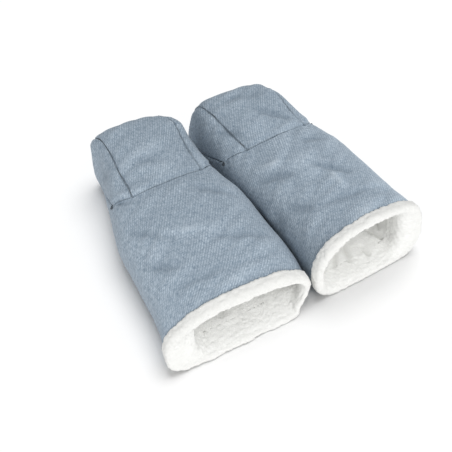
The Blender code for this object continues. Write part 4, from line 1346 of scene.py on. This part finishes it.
def add_bar_tacks(muff, material):
    """The dense thread bars across the inner ends of the slits."""
    side = muff["side"]
    for name, column, sign in (("right", 0.0, 1.0), ("left", 3.0, -1.0)):
        middle = muff_points(muff, TACK_PLACE - TACK_WIDTH, column)
        along = unit(muff_points(muff, TACK_PLACE, column) - middle)
        beside = muff_points(muff, TACK_PLACE - TACK_WIDTH, column + TACK_SIDE_COLUMN * sign)
        out = unit(np.cross(along, beside - middle)) * sign
        up = unit(np.cross(out, along)) * sign
        turns = np.linspace(0.0, 2.0 * math.pi * TACK_LOOPS, TACK_LOOP_STEPS * TACK_LOOPS + 1)
        route = [middle + up * TACK_LENGTH * (turn / turns[-1] - 0.5)
                 + along * TACK_WIDTH / 2 * math.cos(turn) + out * (TACK_OUT + TACK_SWELL * math.sin(turn))
                 for turn in turns]
        thing = add_piece(muff, f"{name}_thread_bar", thread_mesh(route), material)
        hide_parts(f"{side}_{name}_bar_tack")
        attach(thing, f"{side}_muff")


# Materials: noises have their scale along and across the cloth, turn, detail and range

WARP = ((800.0, 170.0, 1.0), 0.0, 3.0, 0.36, 0.64)
WEFT = ((170.0, 800.0, 1.0), 0.0, 3.0, 0.36, 0.64)
PATCHES = ((190.0, 190.0, 1.0), 0.6, 4.0, 0.3, 0.7)
BROAD = ((34.0, 34.0, 1.0), 0.3, 3.0, 0.3, 0.7)
FADING = ((28.0, 28.0, 1.0), 0.9, 1.0, 0.3, 0.7)
CURLS = ((520.0, 520.0, 1.0), 0.4, 4.0, 0.3, 0.7)
CLUMPS = ((150.0, 150.0, 1.0), 1.1, 2.0, 0.3, 0.7)
TURNING = ((300.0, 6000.0, 1.0), 0.0, 2.0, 0.3, 0.7)
DARK_YARN = (0.135, 0.193, 0.258, 1.0)
LIGHT_YARN = (0.655, 0.755, 0.845, 1.0)
TWILL_LINE = (0.170, 0.230, 0.298, 1.0)
LIGHT_PATCH = (0.500, 0.570, 0.635, 1.0)
DARK_PATCH = (0.220, 0.285, 0.360, 1.0)
# Painted shade in creases and painted highlight on their ridges
CREASE_SHADE = (0.130, 0.175, 0.225, 1.0)
RIDGE_HIGHLIGHT = (0.600, 0.670, 0.730, 1.0)
# Painted shade in the grooves of the seams
SEAM_SHADE_COLOUR = (0.030, 0.042, 0.055, 1.0)
FLEECE_LOW = (0.940, 0.942, 0.915, 1.0)
FLEECE_HIGH = (0.988, 0.990, 0.975, 1.0)
FLEECE_CLUMP = (0.988, 0.988, 0.978, 1.0)
# Painted shade for the fleece's folds and clefts and for the cuff's outer rim
FLEECE_FOLD_SHADE = (0.560, 0.560, 0.520, 1.0)
DARK_METAL = (0.50, 0.51, 0.53, 1.0)
LIGHT_METAL = (0.60, 0.61, 0.62, 1.0)
DARK_THREAD = (0.030, 0.040, 0.052, 1.0)
LIGHT_THREAD = (0.075, 0.092, 0.110, 1.0)
FLOOR_WHITE = (0.95, 0.95, 0.95, 1.0)
ROOM_WHITE = (1.0, 1.0, 1.0, 1.0)
TWILL_TURN = math.radians(-32.0)
TWILL_PERIOD = 0.0028
WAVES_PER_TURN = 20.0
TWILL_SHARE = 0.80
TWILL_LOSS = -0.35
TWILL_RELIEF = -0.8
PATCH_SHARE = 0.34
BROAD_SHARE = 0.22
CREASE_SHARE = 0.52
# Painted shade in the seams' grooves: its least share and its gain by the fading noise
SEAM_SHADE_LEAST = 0.15
SEAM_SHADE_GAIN = 0.5
CLUMP_SHARE = 0.3
FLEECE_SHADE_SHARE = -0.4
THREAD_BANDS = 900.0


def feed(tree, node, inputs):
    """Give a node's inputs what goes in, each a socket or a value."""
    for name, value in inputs.items():
        if isinstance(value, bpy.types.NodeSocket):
            tree.links.new(value, node.inputs[name])
        else:
            node.inputs[name].default_value = value


def added(tree, kind, inputs=None):
    """A new node with what goes into it."""
    node = tree.nodes.new(f"ShaderNode{kind}")
    feed(tree, node, inputs or {})
    return node


def new_material(name, settings):
    """A material with its shader's settings, its nodes and its shader."""
    material = bpy.data.materials.new(name)
    material.use_nodes = True
    tree = material.node_tree
    shader = tree.nodes["Principled BSDF"]
    feed(tree, shader, settings)
    return material, tree, shader


def cloth_coordinates(tree, scale, turn):
    """Cloth coordinates in metres, turned and then scaled."""
    source = added(tree, "UVMap")
    source.uv_map = "Cloth"
    rotate = added(tree, "VectorRotate", {"Vector": source.outputs["UV"], "Angle": turn})
    rotate.rotation_type = "Z_AXIS"
    mapping = added(tree, "Mapping", {"Vector": rotate.outputs["Vector"], "Scale": scale})
    return mapping.outputs["Vector"]


def texture_noise(tree, scale, turn, detail, low, high):
    """Noise along the cloth, stretched by the scale and spread to the range from 0 to 1."""
    texture = added(tree, "TexNoise", {"Vector": cloth_coordinates(tree, scale, turn), "Scale": 1.0,
                                       "Detail": detail})
    ranged = added(tree, "MapRange", {"Value": texture.outputs["Fac"], "From Min": low, "From Max": high})
    return ranged.outputs["Result"]


def mixed(tree, factor, one, other):
    """Mix two colours by a factor, each given as a socket or a value.

    The node has a factor and colours for each type of data, so its sockets are told apart by number.
    """
    mix = added(tree, "Mix")
    mix.data_type = "RGBA"
    feed(tree, mix, {0: factor, 6: one, 7: other})
    return mix.outputs[2]


def combined(tree, operation, one, other):
    """A sum, product or greatest of two values, each a socket or a number."""
    node = added(tree, "Math")
    node.operation = operation
    feed(tree, node, {0: one, 1: other})
    return node.outputs["Value"]


def times(tree, one, other):
    """The product of two values."""
    return combined(tree, "MULTIPLY", one, other)


def marked(tree, name):
    """The value that a mesh holds under this name, and 0 where it holds none."""
    attribute = added(tree, "Attribute")
    attribute.attribute_name = name
    return attribute.outputs["Fac"]


def bumped(tree, height, strength, distance):
    """The surface's direction with a small relief."""
    bump = added(tree, "Bump", {"Height": height, "Strength": strength, "Distance": distance})
    return bump.outputs["Normal"]


def twill_material():
    """Blue-grey melange twill."""
    material, tree, shader = new_material("melange_twill", {"Roughness": 0.92, "Specular IOR Level": 0.2,
                                                            "Sheen Weight": 0.10})
    layers = (WARP, WEFT, PATCHES, BROAD, FADING)
    warp, weft, patches, broad, fading = (texture_noise(tree, *layer) for layer in layers)
    per_metre = 2.0 * math.pi / (WAVES_PER_TURN * TWILL_PERIOD)
    wave = added(tree, "TexWave", {
        "Vector": cloth_coordinates(tree, (per_metre, per_metre, 1.0), TWILL_TURN), "Scale": 1.0,
        "Distortion": 0.5, "Detail": 2.0, "Detail Scale": 1.4})
    twill = wave.outputs["Fac"]
    yarn = times(tree, combined(tree, "ADD", warp, weft), 0.5)
    clear = combined(tree, "ADD", times(tree, broad, TWILL_LOSS), TWILL_SHARE)
    crease = marked(tree, "Crease")
    seam_shading = combined(tree, "ADD", times(tree, fading, SEAM_SHADE_GAIN), SEAM_SHADE_LEAST)
    colour = mixed(tree, yarn, DARK_YARN, LIGHT_YARN)
    # The last three mixes paint light into the colour: shade in the creases, highlight on their ridges and
    # shade in the grooves of the seams
    for factor, other in (
            (times(tree, twill, clear), TWILL_LINE),
            (times(tree, patches, PATCH_SHARE), LIGHT_PATCH),
            (times(tree, broad, BROAD_SHARE), DARK_PATCH),
            (combined(tree, "MAXIMUM", times(tree, crease, -CREASE_SHARE), 0.0), CREASE_SHADE),
            (combined(tree, "MAXIMUM", times(tree, crease, CREASE_SHARE), 0.0), RIDGE_HIGHLIGHT),
            # Painted shade in the grooves of the seams
            (times(tree, marked(tree, "Sunk"), seam_shading), SEAM_SHADE_COLOUR)):
        colour = mixed(tree, factor, colour, other)
    relief = combined(tree, "ADD", times(tree, twill, TWILL_RELIEF), yarn)
    normal = bumped(tree, relief, strength=0.35, distance=0.00035)
    feed(tree, shader, {"Base Color": colour, "Normal": normal})
    return material


def fleece_material():
    """White curly fleece."""
    material, tree, shader = new_material("white_fleece", {"Roughness": 1.0, "Specular IOR Level": 0.1,
                                                           "Sheen Weight": 0.15})
    curls = texture_noise(tree, *CURLS)
    colour = mixed(tree, curls, FLEECE_LOW, FLEECE_HIGH)
    colour = mixed(tree, times(tree, texture_noise(tree, *CLUMPS), CLUMP_SHARE), colour, FLEECE_CLUMP)
    # Painted shade: darker in the fleece's folds and clefts, and over the cuff's outer rim
    colour = mixed(tree, times(tree, marked(tree, "Crease"), FLEECE_SHADE_SHARE), colour, FLEECE_FOLD_SHADE)
    normal = bumped(tree, curls, strength=0.5, distance=0.0006)
    feed(tree, shader, {"Base Color": colour, "Normal": normal})
    return material


def metal_material():
    """Nickel plate with fine turning marks."""
    material, tree, shader = new_material("nickel", {"Metallic": 1.0, "Roughness": 0.3})
    marks = texture_noise(tree, *TURNING)
    feed(tree, shader, {"Base Color": mixed(tree, marks, DARK_METAL, LIGHT_METAL)})
    return material


def thread_material():
    """Dark spun thread."""
    material, tree, shader = new_material("spun_thread", {"Roughness": 0.7})
    place = added(tree, "TexCoord").outputs["Object"]
    wave = added(tree, "TexWave", {"Vector": place, "Scale": THREAD_BANDS, "Distortion": 2.0})
    wave.bands_direction = "DIAGONAL"
    feed(tree, shader, {"Base Color": mixed(tree, wave.outputs["Fac"], DARK_THREAD, LIGHT_THREAD)})
    return material


# Stage, light and camera

AIM_FROM_LEFT = Vector((0.0571, 0.1440, 0.0))
VIEW_AZIMUTH = math.radians(-32.05)
VIEW_ELEVATION = math.radians(47.0)
VIEW_DISTANCE = 1.004
LENS = 67.7
SENSOR = 36.0
FLOOR_GAP = 0.0004
FLOOR_HALF = 3.0
ROOM_STRENGTH = 0.50
FRONT_POWER = 7.4
FRONT_SIZE = 0.55
FRONT_PLACES = {"left": (-0.36, -0.85, 0.75), "right": (0.20, -0.85, 0.75)}

# Far lamps: name, strength, spread in degrees and place
FAR_LAMPS = (
    ("right", 0.60, 25.0, (0.75, 0.70, 1.1)),
    ("mouth_light", 1.55, 50.0, (-0.10, -1.0, 1.1)),
    ("floor_light", 1.94, 50.0, (0.42, 0.28, 1.5)),
)


def seen_directly(tree):
    """1 for what the camera sees directly, in a mirror or through glass, and 0 for other light."""
    path = added(tree, "LightPath")
    seen = combined(tree, "ADD", path.outputs["Is Camera Ray"], path.outputs["Is Glossy Ray"])
    return combined(tree, "ADD", seen, path.outputs["Is Transmission Ray"])


def add_stage():
    """A white floor that keeps soft shadows, which is returned."""
    data = bpy.data.meshes.new("floor")
    data.from_pydata([(x * FLOOR_HALF, y * FLOOR_HALF, -FLOOR_GAP) for x, y in
                      ((-1, -1), (1, -1), (1, 1), (-1, 1))], [], [(0, 1, 2, 3)])
    data.materials.append(new_material("floor", {"Base Color": FLOOR_WHITE, "Roughness": 1.0,
                                                 "Specular IOR Level": 0.0})[0])
    floor = add_object("floor", data)
    return floor


def light_group(name, things, state="INCLUDE"):
    """What a lamp lights: only these things, or all but them."""
    group = bpy.data.collections.new(name)
    for thing in things:
        group.objects.link(thing)
    for member in group.collection_objects:
        member.light_linking.link_state = state
    return group


def add_lamp(name, kind, energy, place, lit):
    """Put a lamp at a place, turned to the middle of the pair, for what it lights."""
    lamp = bpy.data.lights.new(name, kind)
    lamp.energy = energy
    thing = add_object(name, lamp)
    thing.location = place
    thing.rotation_euler = Vector(place).to_track_quat("Z", "Y").to_euler()
    thing.light_linking.receiver_collection = lit
    return lamp


def add_light(floor, fleece):
    """A bright even room that is seen as white, soft lights on the cloth, the fleece and the floor."""
    world = bpy.data.worlds.new("room")
    bpy.context.scene.world = world
    world.use_nodes = True
    tree = world.node_tree
    white = times(tree, seen_directly(tree), 1.0 - ROOM_STRENGTH)
    feed(tree, tree.nodes["Background"], {"Color": ROOM_WHITE,
                                          "Strength": combined(tree, "ADD", white, ROOM_STRENGTH)})
    groups = (light_group("lit_cloth", [floor] + fleece, "EXCLUDE"), light_group("lit_fleece", fleece),
              light_group("lit_floor", [floor]))
    twill = [thing for thing in bpy.data.objects if thing not in fleece]
    for side, place in FRONT_PLACES.items():
        lit = light_group(f"lit_{side}", [thing for thing in twill if thing.name.startswith(side)])
        add_lamp(f"front_{side}", "AREA", FRONT_POWER, place, lit).size = FRONT_SIZE
    for (name, strength, angle, place), lit in zip(FAR_LAMPS, groups):
        add_lamp(name, "SUN", strength, place, lit).angle = math.radians(angle)


def add_camera():
    """The camera at the photograph's viewing angle."""
    data = bpy.data.cameras.new("camera")
    data.lens = LENS
    data.sensor_width = SENSOR
    camera = add_object("camera", data)
    aim = MUFFS["left"]["frame"].translation + AIM_FROM_LEFT
    back = Vector((math.sin(VIEW_AZIMUTH) * math.cos(VIEW_ELEVATION),
                   -math.cos(VIEW_AZIMUTH) * math.cos(VIEW_ELEVATION), math.sin(VIEW_ELEVATION)))
    camera.location = aim + back * VIEW_DISTANCE
    camera.rotation_euler = (-back).to_track_quat("-Z", "Y").to_euler()
    bpy.context.scene.camera = camera


# The pair


def bend_with_flap(piece):
    """Bake a piece's place into its mesh."""
    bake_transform(piece)


def dress(muff, paint):
    """Dress one muff."""
    side = muff["side"]
    skin = add_sleeve_skin(muff, paint["twill"])
    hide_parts(*(f"{side}_{node}" for node in (
        "sleeve_top_panel", "sleeve_under_panel", "sleeve_wadding", "flap_outer", "flap_wadding")))
    bend_with_flap(skin)
    lining = add_sleeve_fleece(muff, paint["fleece"])
    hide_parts(f"{side}_sleeve_lining", f"{side}_flap_lining")
    bend_with_flap(lining)
    riding = [
        (add_strip(muff, paint["twill"]), ["hood_top_panel"], "outer_cloth"),
        (add_gusset(muff, "right", paint["twill"]), ["hood_right_gusset"], "outer_cloth"),
        (add_gusset(muff, "left", paint["twill"]), ["hood_left_gusset"], "outer_cloth"),
        (add_cuff(muff, paint["fleece"]), ["cuff_fleece"], "white_fleece"),
        (add_hood_fleece(muff, paint["fleece"]), ["hood_lining", "hood_wadding"], "white_fleece"),
    ]
    for piece, nodes, slot in riding:
        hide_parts(*(f"{side}_{node}" for node in nodes))
        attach(piece, f"{side}_muff")
    add_facings(muff, paint["twill"])
    add_studs(muff, paint["metal"])
    add_bar_tacks(muff, paint["thread"])


def build():
    """Dress both muffs, and return what is of fleece."""
    paint = {"twill": twill_material(), "fleece": fleece_material(), "metal": metal_material(),
             "thread": thread_material()}
    for muff in MUFFS.values():
        dress(muff, paint)
    return [thing for thing in bpy.data.objects if thing.active_material == paint["fleece"]]


FLEECE_PIECES = build()
add_light(add_stage(), FLEECE_PIECES)
add_camera()
bpy.context.scene.view_settings.view_transform = "Standard"
